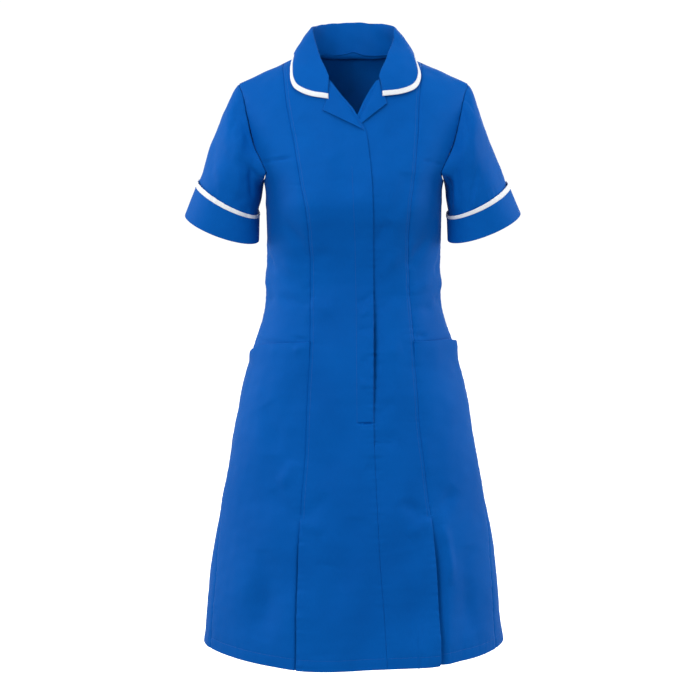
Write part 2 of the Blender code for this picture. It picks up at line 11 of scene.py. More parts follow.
import bpy
import numpy as np
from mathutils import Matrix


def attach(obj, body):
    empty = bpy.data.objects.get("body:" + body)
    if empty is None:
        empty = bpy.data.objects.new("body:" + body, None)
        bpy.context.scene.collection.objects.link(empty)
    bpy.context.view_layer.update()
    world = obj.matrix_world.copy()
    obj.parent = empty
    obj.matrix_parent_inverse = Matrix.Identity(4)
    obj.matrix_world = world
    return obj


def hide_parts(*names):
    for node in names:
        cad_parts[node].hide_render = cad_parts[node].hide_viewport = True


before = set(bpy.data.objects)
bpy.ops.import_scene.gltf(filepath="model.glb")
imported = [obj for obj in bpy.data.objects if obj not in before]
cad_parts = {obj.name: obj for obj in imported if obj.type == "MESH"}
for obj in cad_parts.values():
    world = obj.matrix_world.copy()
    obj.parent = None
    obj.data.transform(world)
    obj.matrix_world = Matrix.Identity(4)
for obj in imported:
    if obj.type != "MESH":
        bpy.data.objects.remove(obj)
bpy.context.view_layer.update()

RIGHT, LEFT = -1, 1
WORD = {RIGHT: "right", LEFT: "left"}
MM = 0.001

# ---- the dress's form, as in its frame ----

CLOTH = 0.001
LAYER_GAP = 0.0005
ARMHOLE_GAP = 0.001
BINDING_WIDTH = 0.0085
CUFF_LIFT = 0.0024
PLEAT_DEPTH = 0.036
PLEAT_RISE = {RIGHT: 0.0015, LEFT: 0.005}
UNDERLAP = 0.045
SET_BACK = 0.003
EDGE_STAND = 0.0022
CLOSURE_END = -0.586        # the fly is sewn across here
FLY_SHADE = 0.0055          # the left front lies this much deeper beside the closure's edge
POCKET_GAPE = {RIGHT: 0.003, LEFT: 0.006}
BUST_RISE, BUST_HEIGHT, BUST_OUT, BUST_REACH = 0.006, -0.225, 0.08, 0.055
HOLLOW_MIDDLE, HOLLOW_REACH = 0.024, 0.125

Section = namedtuple("Section", "level side_level half_width front back middle square hollow")
SECTIONS = [Section(*row) for row in [
    (-0.996, -0.988, 0.26, 0.198, 0.195, 0.02, 1.8, 0.026),   # hem
    (-0.87, -0.866, 0.2465, 0.178, 0.18, 0.018, 1.92, 0.016),
    (-0.745, -0.745, 0.2275, 0.157, 0.165, 0.015, 2.05, 0.006),   # top of the pleats
    (-0.62, -0.62, 0.205, 0.138, 0.15, 0.012, 2.2, 0.0),   # end of the closure
    (-0.54, -0.54, 0.189, 0.129, 0.138, 0.01, 2.2, 0.0),   # hip
    (-0.47, -0.47, 0.169, 0.121, 0.122, 0.008, 2.2, 0.0),
    (-0.41, -0.41, 0.1508, 0.11, 0.102, 0.006, 2.2, 0.0),
    (-0.35, -0.35, 0.1465, 0.102, 0.088, 0.004, 2.25, 0.0),   # waist
    (-0.29, -0.29, 0.1465, 0.115, 0.092, 0.002, 2.35, 0.0),
    (-0.235, -0.235, 0.1468, 0.132, 0.1, 0.0, 2.45, 0.0),   # bust
    (-0.195, -0.195, 0.15, 0.131, 0.103, 0.0, 2.5, 0.0),   # underarm
    (-0.15, -0.165, 0.168, 0.124, 0.103, 0.0, 2.5, 0.0),
    (-0.095, -0.13, 0.183, 0.108, 0.103, 0.0, 2.5, 0.0),
    (-0.04, -0.098, 0.194, 0.091, 0.099, 0.002, 2.45, 0.0),
    (0.005, -0.07, 0.2, 0.07, 0.087, 0.004, 2.4, 0.0),
    (0.04, -0.05, 0.203, 0.038, 0.052, 0.005, 2.35, 0.0),
    (0.054, -0.039, 0.204, 0.0, 0.0, 0.005, 2.3, 0.0),    # shoulder seam
]]
PLEAT_ROW, CLOSURE_ROW, UNDERARM_ROW, SHOULDER_ROW = 2, 3, 10, len(SECTIONS) - 1
POCKET_ROW, HIP_ROW, BREAK_ROW, GORGE_ROW = 5.25, 4.5, 11.8, 13.6
TOP_ROW = SHOULDER_ROW - 0.012

Princess = namedtuple("Princess", "level right left")
PRINCESS = [Princess(*row) for row in [
    (-0.996, 0.095, 0.143),
    (-0.87, 0.093, 0.1395),
    (-0.745, 0.0885, 0.129),
    (-0.62, 0.08, 0.113),
    (-0.54, 0.077, 0.1065),
    (-0.45, 0.0722, 0.1),
    (-0.36, 0.0722, 0.0926),
    (-0.285, 0.074, 0.0912),
    (-0.235, 0.078, 0.0935),
    (-0.195, 0.086, 0.0985),
    (-0.135, 0.0945, 0.1025),
    (-0.085, 0.1024, 0.106),
    (-0.016, 0.1122, 0.1092),
    (0.054, 0.118, 0.114),
]]

Opening = namedtuple("Opening", "level right left")
OPENING = [Opening(*row) for row in [
    (-0.996, 0.056, 0.056),
    (-0.915, 0.0513, 0.0513),
    (-0.81, 0.0433, 0.0433),
    (-0.64, 0.0351, 0.0351),
    (-0.585, 0.0329, 0.0329),
    (-0.285, 0.0322, 0.0322),
    (-0.203, 0.0303, -0.013),
    (-0.136, 0.0247, -0.008),
    (-0.105, 0.0199, -0.002),
    (-0.081, 0.0053, 0.006),
    (-0.041, -0.0222, 0.023),
    (-0.011, -0.0402, 0.039),
]]

Armhole = namedtuple("Armhole", "row front back")
ARMHOLE = [Armhole(*row) for row in [
    (10.0, 90, 90),
    (10.1, 80, 98),
    (10.3, 69, 105),
    (10.6, 61, 110),
    (11.0, 60, 113),
    (11.8, 62, 115),
    (12.9, 61, 116),
    (14.4, 63, 115),
    (15.2, 66, 113),
    (16.0, 68, 112),
]]
ARMHOLE_ROWS = [10, 10.1, 10.3, 10.6, 11, BREAK_ROW, 12.3, 12.9, GORGE_ROW, 14.4, 15.2, TOP_ROW]

SideSeam = namedtuple("SideSeam", "level angle")
SIDE_SEAM = [SideSeam(-0.996, 71), SideSeam(-0.87, 74), SideSeam(-0.745, 81), SideSeam(-0.62, 90)]

PocketMouth = namedtuple("PocketMouth", "share right left")
POCKET_MOUTH = [PocketMouth(*row) for row in [
    (0.0, POCKET_ROW, POCKET_ROW),
    (0.5, 5.12, 5.22),
    (0.8, 4.92, 5.12),
    (1.0, 4.7, 5.02),
]]

Ring = namedtuple("Ring", "outer_x outer_z inner_x inner_z middle half_depth front_drop")
SLEEVE_RINGS = {
    RIGHT: [
        Ring(0.2144, -0.076, 0.154, -0.208, -0.004, 0.07, 0.004),
        Ring(0.2382, -0.132, 0.157, -0.229, -0.006, 0.066, 0.007),
        Ring(0.2578, -0.194, 0.16, -0.248, -0.008, 0.059, 0.01),
        Ring(0.2815, -0.252, 0.1625, -0.294, -0.01, 0.053, 0.012),
    ],
    LEFT: [
        Ring(0.21, -0.076, 0.154, -0.208, -0.004, 0.07, 0.004),
        Ring(0.23, -0.132, 0.157, -0.229, -0.006, 0.066, 0.007),
        Ring(0.2562, -0.198, 0.159, -0.249, -0.008, 0.059, 0.01),
        Ring(0.278, -0.249, 0.161, -0.293, -0.01, 0.053, 0.012),
    ],
}
CUFF_TOP, CUFF_END = 3.0, 4.0
BINDING_SHARE = BINDING_WIDTH / 0.058

Station = namedtuple("Station", "seam_x seam_y roll_x roll_y stand edge_x edge_y")
COLLAR = [Station(*row) for row in [
    (0.0, 0.078, 0.0, 0.082, 0.0475, 0.0, 0.0865),
    (0.03, 0.0716, 0.028, 0.0785, 0.052, 0.036, 0.077),
    (0.0555, 0.0529, 0.052, 0.061, 0.049, 0.07, 0.0615),
    (0.07, 0.0273, 0.067, 0.03, 0.0425, 0.092, 0.037),
    (0.0732, 0.012, 0.0675, 0.013, 0.036, 0.1005, 0.006),
    (0.0715, -0.001, 0.066, -0.002, 0.026, 0.1025, -0.016),
    (0.066, -0.0175, 0.0625, -0.018, 0.015, 0.106, -0.038),
    (0.0605, -0.0365, 0.0575, -0.037, 0.011, 0.105, -0.056),
    (0.0555, -0.0505, 0.053, -0.051, 0.0085, 0.096, -0.069),
    (0.049, -0.063, 0.047, -0.0635, 0.007, 0.073, -0.081),
    (0.042, -0.0752, 0.0405, -0.0755, 0.006, 0.0434, -0.0895),
]]
SHOULDER_STATION = 4
COLLAR_TURN, COLLAR_LIFT, ROLL_RADIUS = 0.003, 0.0036, 0.002
COLLAR_BULGE, BULGE_SHARE = 0.008, 0.16

Lapel = namedtuple("Lapel", "break_x break_z gorge_x gorge_z notch_x notch_z tip_x tip_z roll_bow")
LAPELS = {
    RIGHT: Lapel(0.0185, -0.1085, -0.0392, -0.027, -0.0425, -0.0575, -0.05, -0.076, 0.003),
    LEFT: Lapel(-0.0005, -0.106, 0.0405, -0.025, 0.049, -0.0505, 0.054, -0.0645, -0.0015),
}
LAPEL_LIFT = 0.0014

# ---- what the frame leaves out ----

WALL = 0.45 * MM           # real thickness of the twill
FOLD = 1.6 * MM            # thickness over a folded edge
HEM_DEPTH = 20 * MM        # turned-up hem
HEM_STITCH = 19 * MM       # stitched this far up
HEM_ROWS = [18.6 * MM, 19.4 * MM]  # the rows beside that stitching
PRINCESS_SEED = {RIGHT: 11, LEFT: 13}
ALLOWANCE = 8 * MM         # turned in at each seam
FACING = 38 * MM           # turned back along the closure's edge
CELL = 3.2 * MM            # usual distance between points
STITCH_INSET = 6 * MM      # edge stitching, from the princess seams
ARMHOLE_SINK = 0.5 * MM    # less at an armhole, where the sleeve's edge lies just beneath
SEAM_SINK = 1.9 * MM       # the panels' edges are drawn in by this at a seam

# A folded edge from its inside to its outside: distance from the edge, and share of its thickness.
EDGE = [(0.9, 1.0), (0.35, 0.93), (0.08, 0.72), (0.0, 0.5), (0.08, 0.28), (0.35, 0.07), (0.9, 0.0)]
EDGE_ROUND = 0.9 * MM      # how far in the rounding of an edge begins
# Distances of the points next to an edge, mm.
NEAR = [1.7, 2.6, 3.6, 4.6, 5.4, 6.0, 6.6, 7.4, 8.6, 10.2, 12.4]


# ---- curves through tables ----

def read(table, at, column):
    """Values of a column at places in the table's first column, on a curve that never overshoots."""
    keys = np.array([entry[0] for entry in table], float)
    values = np.array([getattr(entry, column) for entry in table], float)
    at = np.clip(at, keys[0], keys[-1])
    widths = np.diff(keys)
    slopes = np.diff(values) / widths
    product = slopes[:-1] * slopes[1:]
    total = np.where(product > 0, slopes[:-1] + slopes[1:], 1)
    tangents = np.concatenate([slopes[:1], np.where(product > 0, 2 * product / total, 0), slopes[-1:]])
    index = np.clip(np.searchsorted(keys, at, side="right") - 1, 0, len(slopes) - 1)
    part = (at - keys[index]) / widths[index]
    rise = values[index + 1] - values[index]
    start, end = tangents[index] * widths[index], tangents[index + 1] * widths[index]
    return (values[index] + part * start + part ** 2 * (3 * rise - 2 * start - end)
            + part ** 3 * (start + end - 2 * rise))


def spline(part, before, start, end, after):
    """Place on the smooth curve from start to end."""
    return 0.5 * (2 * start + (end - before) * part
                  + (2 * before - 5 * start + 4 * end - after) * part ** 2
                  + (3 * start - before - 3 * end + after) * part ** 3)


def refine(points, count):
    """A smooth curve through points, along their first axis, with count steps between each two."""
    padded = np.concatenate([2 * points[:1] - points[1:2], points, 2 * points[-1:] - points[-2:-1]])
    made = []
    for index in range(len(points) - 1):
        for step in range(count):
            made.append(spline(step / count, *padded[index:index + 4]))
    return np.array(made + [points[-1]])


def smooth(share):
    share = np.clip(share, 0.0, 1.0)
    return share * share * (3 - 2 * share)


def bump(at, start, end):
    """Nought at start and end, one half way between."""
    return np.sin(np.pi * np.clip((at - start) / (end - start), 0, 1)) ** 2


def mix(first, second, share):
    return first + (second - first) * share


def unit(vectors):
    return vectors / np.maximum(np.linalg.norm(vectors, axis=-1, keepdims=True), 1e-12)


# ---- the body surface ----

def padded_sections():
    hem, above, near = SECTIONS[0], SECTIONS[1], SECTIONS[-2]
    below = [2 * first - second for first, second in zip(hem, above)]
    beyond = near._replace(front=-near.back, back=-near.front)
    return np.array([below] + [list(entry) for entry in SECTIONS] + [list(beyond)])


PADDED = padded_sections()


def section(row):
    row = np.asarray(row, float)
    index = np.clip(row.astype(int), 0, len(SECTIONS) - 2)
    four = [PADDED[index + step] for step in range(4)]
    return Section(*np.moveaxis(spline((row - index)[..., None], *four), -1, 0))


def surface(row, turn):
    """Points of the body at rows and angles: 0 is straight ahead, 90 the wearer's left."""
    here = section(row)
    sine, cosine = np.sin(np.radians(turn)), np.cos(np.radians(turn))
    out = np.abs(sine) ** (2 / here.square)
    deep = np.abs(cosine) ** (2 / here.square)
    x = np.sign(sine) * here.half_width * out
    z = here.level + (here.side_level - here.level) * out
    across = np.minimum(np.abs(x - HOLLOW_MIDDLE) / HOLLOW_REACH, 1)
    inward = here.hollow * np.cos(np.pi / 2 * across) ** 2
    away = ((np.abs(x) - BUST_OUT) ** 2 + (here.level - BUST_HEIGHT) ** 2) / BUST_REACH ** 2
    bust = BUST_RISE * np.exp(-away) * (1 - out ** 8)
    front = here.middle - here.front * deep + inward - bust
    return np.stack([x, np.where(cosine < 0, here.middle + here.back * deep, front), z], -1)


def outward(row, turn):
    """The surface's normal."""
    up = surface(np.minimum(row + 0.05, SHOULDER_ROW), turn) - surface(np.maximum(row - 0.05, 0), turn)
    along = surface(row, turn + 1) - surface(row, turn - 1)
    return unit(np.cross(along, up))


def turn_of(row, x, behind=False):
    """Angle at which a row of the body reaches x, in front or behind."""
    here = section(row)
    angle = np.degrees(np.arcsin(np.minimum(np.abs(x) / here.half_width, 1) ** (here.square / 2)))
    return np.where(np.asarray(x) < 0, -1, 1) * (180 - angle if behind else angle)


def row_where(measure, goal, low, high):
    """Row between low and high where a measure that grows with the row reaches its goal."""
    low, high = low + 0 * goal, high + 0 * goal
    for _ in range(40):
        middle = (low + high) / 2
        less = measure(middle) < goal
        low, high = np.where(less, middle, low), np.where(less, high, middle)
    return (low + high) / 2


def over(x, y, lift):
    """Point above a place in plan on the shoulders or the chest, lifted off the body."""
    behind = y > SECTIONS[-1].middle
    sign = -1 if behind else 1
    row = row_where(lambda r: sign * surface(r, turn_of(r, x, behind))[..., 1], np.float64(sign * y),
                    9, SHOULDER_ROW)
    turn = turn_of(row, x, behind)
    return surface(row, turn) + outward(row, turn) * lift


def ahead(x, z, behind=False):
    """Row and angle of the front, or the back, seen straight on at x and z."""
    row = row_where(lambda r: surface(r, turn_of(r, x, behind))[..., 2], z, 0, SHOULDER_ROW)
    return row, turn_of(row, x, behind)


# ---- seam lines and lifts ----

def princess(side, row):
    return side * read(PRINCESS, section(row).level, WORD[side])


def neckline():
    entries = []
    for station in reversed(COLLAR[SHOULDER_STATION + 1:]):
        row = row_where(lambda r: surface(r, turn_of(r, station.seam_x))[..., 1],
                        np.float64(station.seam_y), 9, SHOULDER_ROW)
        entries.append(Opening(float(section(row).level), -station.seam_x, station.seam_x))
    shoulder = COLLAR[SHOULDER_STATION].seam_x
    return entries + [Opening(SECTIONS[-1].level, -shoulder, shoulder)]


NECKLINE = neckline()


def opening(side, row):
    level = section(row).level
    return np.where(row > GORGE_ROW, read(NECKLINE, level, WORD[side]), read(OPENING, level, WORD[side]))


def side_angle(row, edge):
    armhole = read(ARMHOLE, row, edge)
    return np.where(row > UNDERARM_ROW, armhole, read(SIDE_SEAM, section(row).level, "angle"))


def fold_lift(side, row, x):
    rise = PLEAT_RISE[side] * smooth((PLEAT_ROW + 0.4 - row) / 2.4)
    return rise * smooth(1 - np.abs(princess(side, row) - x) / 0.05)


def centre_lift(side, row, x):
    """How far a centre front lies off the body."""
    level = section(row).level
    if side == RIGHT:
        near = smooth(1 - (opening(RIGHT, row) - x) / 0.035)
        return fold_lift(side, row, x) + EDGE_STAND * near * bump(level, -0.6, -0.28)
    fade = smooth((-0.012 - level) / 0.08) * smooth((row - CLOSURE_ROW + 0.1) / 0.15)
    reach = opening(RIGHT, np.minimum(row, BREAK_ROW))
    fly = FLY_SHADE * bump(level, -0.6, -0.33) * smooth((reach + 0.011 - x) / 0.01)
    return fold_lift(side, row, x) - SET_BACK * smooth((reach + 0.038 - x) / 0.032) * fade - fly


# ---- creases ----

# Soft troughs (depth below nought) and ridges of the cloth, each along a gently bowed line. A spot
# is (x, z) on the front or the back as seen from there, and (angle, z) at the sides.
Crease = namedtuple("Crease", "face a0 z0 a1 z1 bow width depth")
CREASE_ROWS = [
    # beside the closure, from the waist down
    ("front", [
        (0.035, -0.372, 0.004, -0.392, 0.002, 0.006, -0.0016),
        (0.035, -0.398, 0.01, -0.412, -0.002, 0.005, 0.0012),
        (0.033, -0.428, 0.006, -0.436, 0.001, 0.006, -0.0013),
        (0.034, -0.47, 0.01, -0.486, 0.003, 0.0065, -0.0012),
        (0.033, -0.532, 0.008, -0.52, -0.002, 0.006, 0.001),
        (0.038, -0.3, 0.062, -0.258, 0.004, 0.011, -0.0022),
        (0.042, -0.345, 0.074, -0.3, -0.003, 0.012, 0.0016),
        (0.04, -0.402, 0.085, -0.372, 0.004, 0.013, -0.002),
        (0.038, -0.48, 0.08, -0.462, 0.003, 0.014, 0.0013),
        (0.036, -0.575, 0.07, -0.552, 0.002, 0.011, -0.0012)]),
    # across the bodice
    ("front", [
        (0.085, -0.175, 0.062, -0.25, 0.006, 0.015, -0.0026),
        (0.055, -0.135, 0.038, -0.215, -0.005, 0.015, 0.0018),
        (-0.03, -0.15, 0.0, -0.215, 0.006, 0.016, -0.002),
        (-0.09, -0.09, -0.045, -0.15, 0.006, 0.017, -0.0022),
        (-0.06, -0.11, -0.025, -0.185, 0.004, 0.015, 0.0016),
        (0.09, -0.085, 0.05, -0.13, -0.004, 0.015, -0.0018)]),
    # the waist, drawn in at the princess seams
    ("front", [
        (-0.074, -0.33, -0.115, -0.255, -0.006, 0.011, -0.003),
        (-0.074, -0.365, -0.12, -0.325, -0.004, 0.01, 0.0018),
        (-0.074, -0.395, -0.125, -0.38, 0.003, 0.009, -0.0018),
        (-0.07, -0.34, -0.035, -0.3, 0.005, 0.013, -0.0018),
        (-0.07, -0.385, -0.03, -0.4, -0.004, 0.012, 0.0014),
        (0.094, -0.335, 0.128, -0.285, 0.005, 0.01, -0.0024),
        (0.094, -0.37, 0.13, -0.355, -0.003, 0.009, 0.0015),
        (0.095, -0.4, 0.135, -0.41, 0.003, 0.01, -0.0017)]),
    # the end of the closure, sewn across
    ("front", [
        (0.005, -0.586, 0.035, -0.586, 0.0, 0.0016, -0.0026),
        (0.034, -0.425, 0.034, -0.59, 0.0, 0.002, -0.001)]),
    # the pockets' inner corners
    ("front", [
        (-0.074, -0.452, -0.096, -0.447, 0.001, 0.0035, -0.0022),
        (-0.074, -0.461, -0.099, -0.472, -0.002, 0.006, 0.0014),
        (0.101, -0.449, 0.121, -0.446, 0.001, 0.004, -0.0018)]),
    # the skirt
    ("front", [
        (-0.1, -0.65, -0.125, -0.69, 0.004, 0.012, 0.0024),
        (-0.145, -0.56, -0.13, -0.64, 0.006, 0.017, -0.0022),
        (-0.088, -0.745, -0.045, -0.7, -0.005, 0.012, -0.0022),
        (-0.088, -0.752, -0.05, -0.765, 0.004, 0.012, 0.002),
        (-0.09, -0.748, -0.135, -0.7, 0.005, 0.013, -0.002),
        (0.128, -0.74, 0.078, -0.712, 0.005, 0.012, -0.0024),
        (0.128, -0.752, 0.09, -0.775, -0.004, 0.012, 0.002),
        (0.13, -0.742, 0.17, -0.7, -0.004, 0.013, -0.0022),
        (0.147, -0.76, 0.16, -0.86, 0.005, 0.01, 0.0036),
        (0.045, -0.64, 0.075, -0.605, 0.004, 0.013, -0.0018),
        (0.04, -0.672, 0.02, -0.655, -0.003, 0.009, -0.0014),
        (0.005, -0.74, -0.025, -0.86, 0.008, 0.023, -0.0026),
        (0.085, -0.8, 0.092, -0.96, 0.006, 0.024, -0.003),
        (-0.05, -0.82, -0.056, -0.965, -0.006, 0.022, 0.0028),
        (-0.15, -0.8, -0.162, -0.95, 0.007, 0.022, -0.0032),
        (0.19, -0.8, 0.203, -0.95, -0.007, 0.02, -0.0032)]),
    # the sides
    ("side", [
        (-84, -0.3, -62, -0.345, 0.004, 0.01, -0.0024), (-96, -0.35, -72, -0.372, 0.004, 0.011, 0.002),
        (-82, -0.4, -60, -0.385, -0.004, 0.01, -0.002), (84, -0.31, 66, -0.35, 0.004, 0.01, -0.0024),
        (98, -0.356, 74, -0.372, 0.004, 0.011, 0.002), (82, -0.398, 62, -0.388, -0.004, 0.01, -0.002),
        (-88, -0.56, -96, -0.76, 3.0, 0.024, -0.0012), (92, -0.58, 97, -0.79, -3.0, 0.024, -0.0012),
        (-104, -0.7, -112, -0.93, 2.0, 0.026, 0.0016), (106, -0.69, 116, -0.92, 2.0, 0.026, 0.0016)]),
    # the back
    ("back", [
        (0.02, -0.33, 0.06, -0.3, 0.006, 0.013, -0.0028),
        (-0.06, -0.345, -0.015, -0.372, 0.006, 0.013, -0.0026),
        (0.01, -0.395, 0.065, -0.405, -0.005, 0.013, 0.0022),
        (-0.09, -0.3, -0.125, -0.265, 0.004, 0.012, -0.0024),
        (0.095, -0.33, 0.13, -0.29, 0.004, 0.012, -0.0024),
        (-0.08, -0.4, -0.12, -0.42, 0.004, 0.012, 0.002), (0.13, -0.18, 0.08, -0.24, 0.006, 0.016, -0.0028),
        (-0.135, -0.175, -0.085, -0.23, 0.006, 0.016, -0.0026),
        (-0.05, -0.08, -0.09, -0.15, 0.006, 0.018, -0.0022),
        (0.04, -0.09, 0.075, -0.16, -0.006, 0.018, 0.002),
        (0.02, -0.56, 0.035, -0.76, 0.01, 0.026, -0.0036),
        (-0.09, -0.58, -0.108, -0.8, 0.01, 0.025, 0.0034),
        (0.125, -0.6, 0.145, -0.82, -0.01, 0.025, 0.0036),
        (-0.025, -0.74, -0.04, -0.95, 0.008, 0.026, -0.004),
        (0.075, -0.78, 0.09, -0.97, 0.006, 0.024, 0.0038),
        (-0.165, -0.78, -0.185, -0.96, 0.006, 0.024, -0.0036),
        (0.185, -0.76, 0.205, -0.95, 0.006, 0.024, -0.0034)]),
    # darts: two at the waist behind, one towards each bust point from the side
    ("back", [
        (0.078, -0.2, 0.082, -0.5, 0.0, 0.0018, -0.002), (-0.078, -0.2, -0.082, -0.5, 0.0, 0.0018, -0.002)]),
    ("front", [
        (-0.15, -0.161, -0.093, -0.15, 0.001, 0.0017, -0.0026),
        (0.15, -0.165, 0.103, -0.152, 0.001, 0.0015, -0.0013)]),
]
CREASES = [Crease(face, *row) for face, rows in CREASE_ROWS for row in rows]


def crease_line(crease):
    """Points along a crease."""
    share = np.linspace(0, 1, 9)
    bow = crease.bow * np.sin(np.pi * share)
    z = mix(crease.z0, crease.z1, share)
    at = mix(crease.a0, crease.a1, share)
    if crease.face == "side":
        row = row_where(lambda r: surface(r, at + bow)[..., 2], z, 0, SHOULDER_ROW)
        return surface(row, at + bow)
    long = math.hypot(crease.a1 - crease.a0, crease.z1 - crease.z0)
    at = at - bow * (crease.z1 - crease.z0) / long
    z = z + bow * (crease.a1 - crease.a0) / long
    return surface(*ahead(at, z, crease.face == "back"))


CREASE_GAIN = 1.75          # how much deeper the creases press than the table says
CREASE_LINES = [(crease, crease_line(crease)) for crease in CREASES]


def press(points, lines):
    """How far each point moves out because of the creases."""
    moved = np.zeros(len(points))
    for crease, line in lines:
        reach = 2.6 * crease.width
        inside = ((points > line.min(0) - reach) & (points < line.max(0) + reach)).all(1)
        if not inside.any():
            continue
        near = points[inside]
        nearest = np.full(len(near), 1e9)
        along = np.zeros(len(near))
        for index in range(len(line) - 1):
            step = line[index + 1] - line[index]
            part = np.clip((near - line[index]) @ step / (step @ step), 0, 1)
            gap = np.linalg.norm(near - line[index] - part[:, None] * step, axis=1)
            closer = gap < nearest
            nearest = np.where(closer, gap, nearest)
            along = np.where(closer, (index + part) / (len(line) - 1), along)
        taper = np.clip(np.sin(np.pi * along), 0, 1) ** 0.6 * (0.85 + 0.15 * np.cos(9 * along))
        moved[inside] += CREASE_GAIN * crease.depth * taper * np.exp(-(nearest / crease.width) ** 2)
    return moved


def waves(points, length, seed, count=22):
    """A field of about unit size with bumps about this long, the same each time."""
    rng = np.random.default_rng(seed)
    total = np.zeros(points.shape[:-1])
    for _ in range(count):
        direction = rng.normal(size=3)
        direction /= np.linalg.norm(direction)
        size = 2 * np.pi / (length * rng.uniform(0.7, 1.5))
        total += np.sin(points @ direction * size + rng.uniform(0, 2 * np.pi))
    return total / math.sqrt(count / 2)


def pucker(along, seed):
    """Uneven gathers along a seam, of about unit size."""
    rng = np.random.default_rng(seed)
    total = 0.0
    for length in (0.009, 0.013, 0.019, 0.031):
        swell = 0.5 + 0.5 * np.sin(2 * np.pi * along / (length * rng.uniform(5, 8)) + rng.uniform(0, 6))
        total = total + swell * np.sin(2 * np.pi * along / length + rng.uniform(0, 6))
    return total / 1.6


def relief(points):
    """The cloth's own unevenness and its creases."""
    flat = points.reshape(-1, 3)
    moved = press(flat, CREASE_LINES)
    low = smooth((-0.45 - flat[:, 2]) / 0.4)
    beside = smooth((np.abs(flat[:, 0]) / np.hypot(flat[:, 0], flat[:, 1]) - 0.75) / 0.2)
    moved += (0.0009 + 0.0008 * low) * (1 - 0.55 * beside) * waves(flat, 0.11, 3)
    moved += 0.00022 * waves(flat, 0.034, 5)
    return moved.reshape(points.shape[:-1])


# ---- materials ----

def node(tree, kind, inputs=(), **settings):
    made = tree.nodes.new("ShaderNode" + kind)
    for name, value in settings.items():
        setattr(made, name, value)
    for name, value in dict(inputs).items():
        if isinstance(value, bpy.types.NodeSocket):
            tree.links.new(value, made.inputs[name])
        else:
            made.inputs[name].default_value = value
    return made


def fabric(name, base, light, dark, weave, roughness, sheen, tint, depth):
    """Woven cloth. The weave follows the cut's own measure, in metres, which the map cloth holds."""
    made = bpy.data.materials.new(name)
    made.use_nodes = True
    tree = made.node_tree
    shader = tree.nodes["Principled BSDF"]
    shader.inputs["Metallic"].default_value = 0.0
    shader.inputs["IOR"].default_value = 1.46
    shader.inputs["Specular IOR Level"].default_value = 0.05
    shader.inputs["Sheen Weight"].default_value = sheen
    shader.inputs["Sheen Roughness"].default_value = 0.28
    shader.inputs["Sheen Tint"].default_value = (*tint, 1)
    place = node(tree, "UVMap", uv_map="cloth").outputs["UV"]
    solid = node(tree, "TexCoord").outputs["Object"]

    # threads: the twill's diagonal rib, with the yarns that cross it
    turned = node(tree, "Mapping", {"Vector": place, "Rotation": (0, 0, math.radians(58))})
    rib = node(tree, "TexWave", {"Vector": turned.outputs[0], "Scale": weave, "Distortion": 0.6,
                                 "Detail": 2.0, "Detail Scale": 1.5},
               wave_type="BANDS", bands_direction="X", wave_profile="SIN")
    yarn = node(tree, "TexWave", {"Vector": place, "Scale": weave * 1.35, "Distortion": 0.9,
                                  "Detail": 2.0, "Detail Scale": 2.0},
                wave_type="BANDS", bands_direction="Y", wave_profile="SIN")
    threads = node(tree, "Math", {0: rib.outputs["Fac"], 1: yarn.outputs["Fac"]}, operation="ADD")

    # colour: patches a hand wide, slubs along the warp, and the threads themselves
    patches = node(tree, "TexNoise", {"Vector": solid, "Scale": 9.0, "Detail": 3.0, "Roughness": 0.5})
    long_way = node(tree, "Mapping", {"Vector": place, "Scale": (1.0, 0.12, 1.0)})
    slubs = node(tree, "TexNoise", {"Vector": long_way.outputs[0], "Scale": 900.0, "Detail": 2.0})
    spread = node(tree, "Math", {0: patches.outputs["Fac"], 1: 0.55}, operation="MULTIPLY")
    slub_part = node(tree, "Math", {0: slubs.outputs["Fac"], 1: 0.3}, operation="MULTIPLY")
    thread_part = node(tree, "Math", {0: threads.outputs[0], 1: 0.075}, operation="MULTIPLY")
    some = node(tree, "Math", {0: spread.outputs[0], 1: slub_part.outputs[0]}, operation="ADD")
    all_of = node(tree, "Math", {0: some.outputs[0], 1: thread_part.outputs[0]}, operation="ADD")
    ramp = node(tree, "ValToRGB", {"Fac": all_of.outputs[0]})
    ramp.color_ramp.elements[0].position = 0.3
    ramp.color_ramp.elements[0].color = (*dark, 1)
    ramp.color_ramp.elements[1].position = 0.72
    ramp.color_ramp.elements[1].color = (*light, 1)
    middle = ramp.color_ramp.elements.new(0.5)
    middle.color = (*base, 1)
    tree.links.new(ramp.outputs["Color"], shader.inputs["Base Color"])

    rough = node(tree, "MapRange", {"Value": slubs.outputs["Fac"], "To Min": roughness - 0.06,
                                    "To Max": roughness + 0.06})
    tree.links.new(rough.outputs["Result"], shader.inputs["Roughness"])

    fine = node(tree, "Bump", {"Height": threads.outputs[0], "Strength": 0.35, "Distance": 0.00006})
    crumple = node(tree, "TexNoise", {"Vector": solid, "Scale": 70.0, "Detail": 3.0, "Roughness": 0.55})
    soft = node(tree, "Bump", {"Height": crumple.outputs["Fac"], "Strength": 0.5, "Distance": depth,
                               "Normal": fine.outputs["Normal"]})
    tree.links.new(soft.outputs["Normal"], shader.inputs["Normal"])
    return made


ROYAL = fabric("royal_twill", (0.0, 0.09, 0.39), (0.0, 0.101, 0.425), (0.0, 0.079, 0.352),
               1400.0, 0.62, 0.17, (0.38, 0.6, 1.0), 0.0006)
WHITE = fabric("white_bias", (0.8, 0.81, 0.83), (0.86, 0.87, 0.88), (0.72, 0.73, 0.76),
               1500.0, 0.7, 0.1, (1.0, 1.0, 1.0), 0.0003)


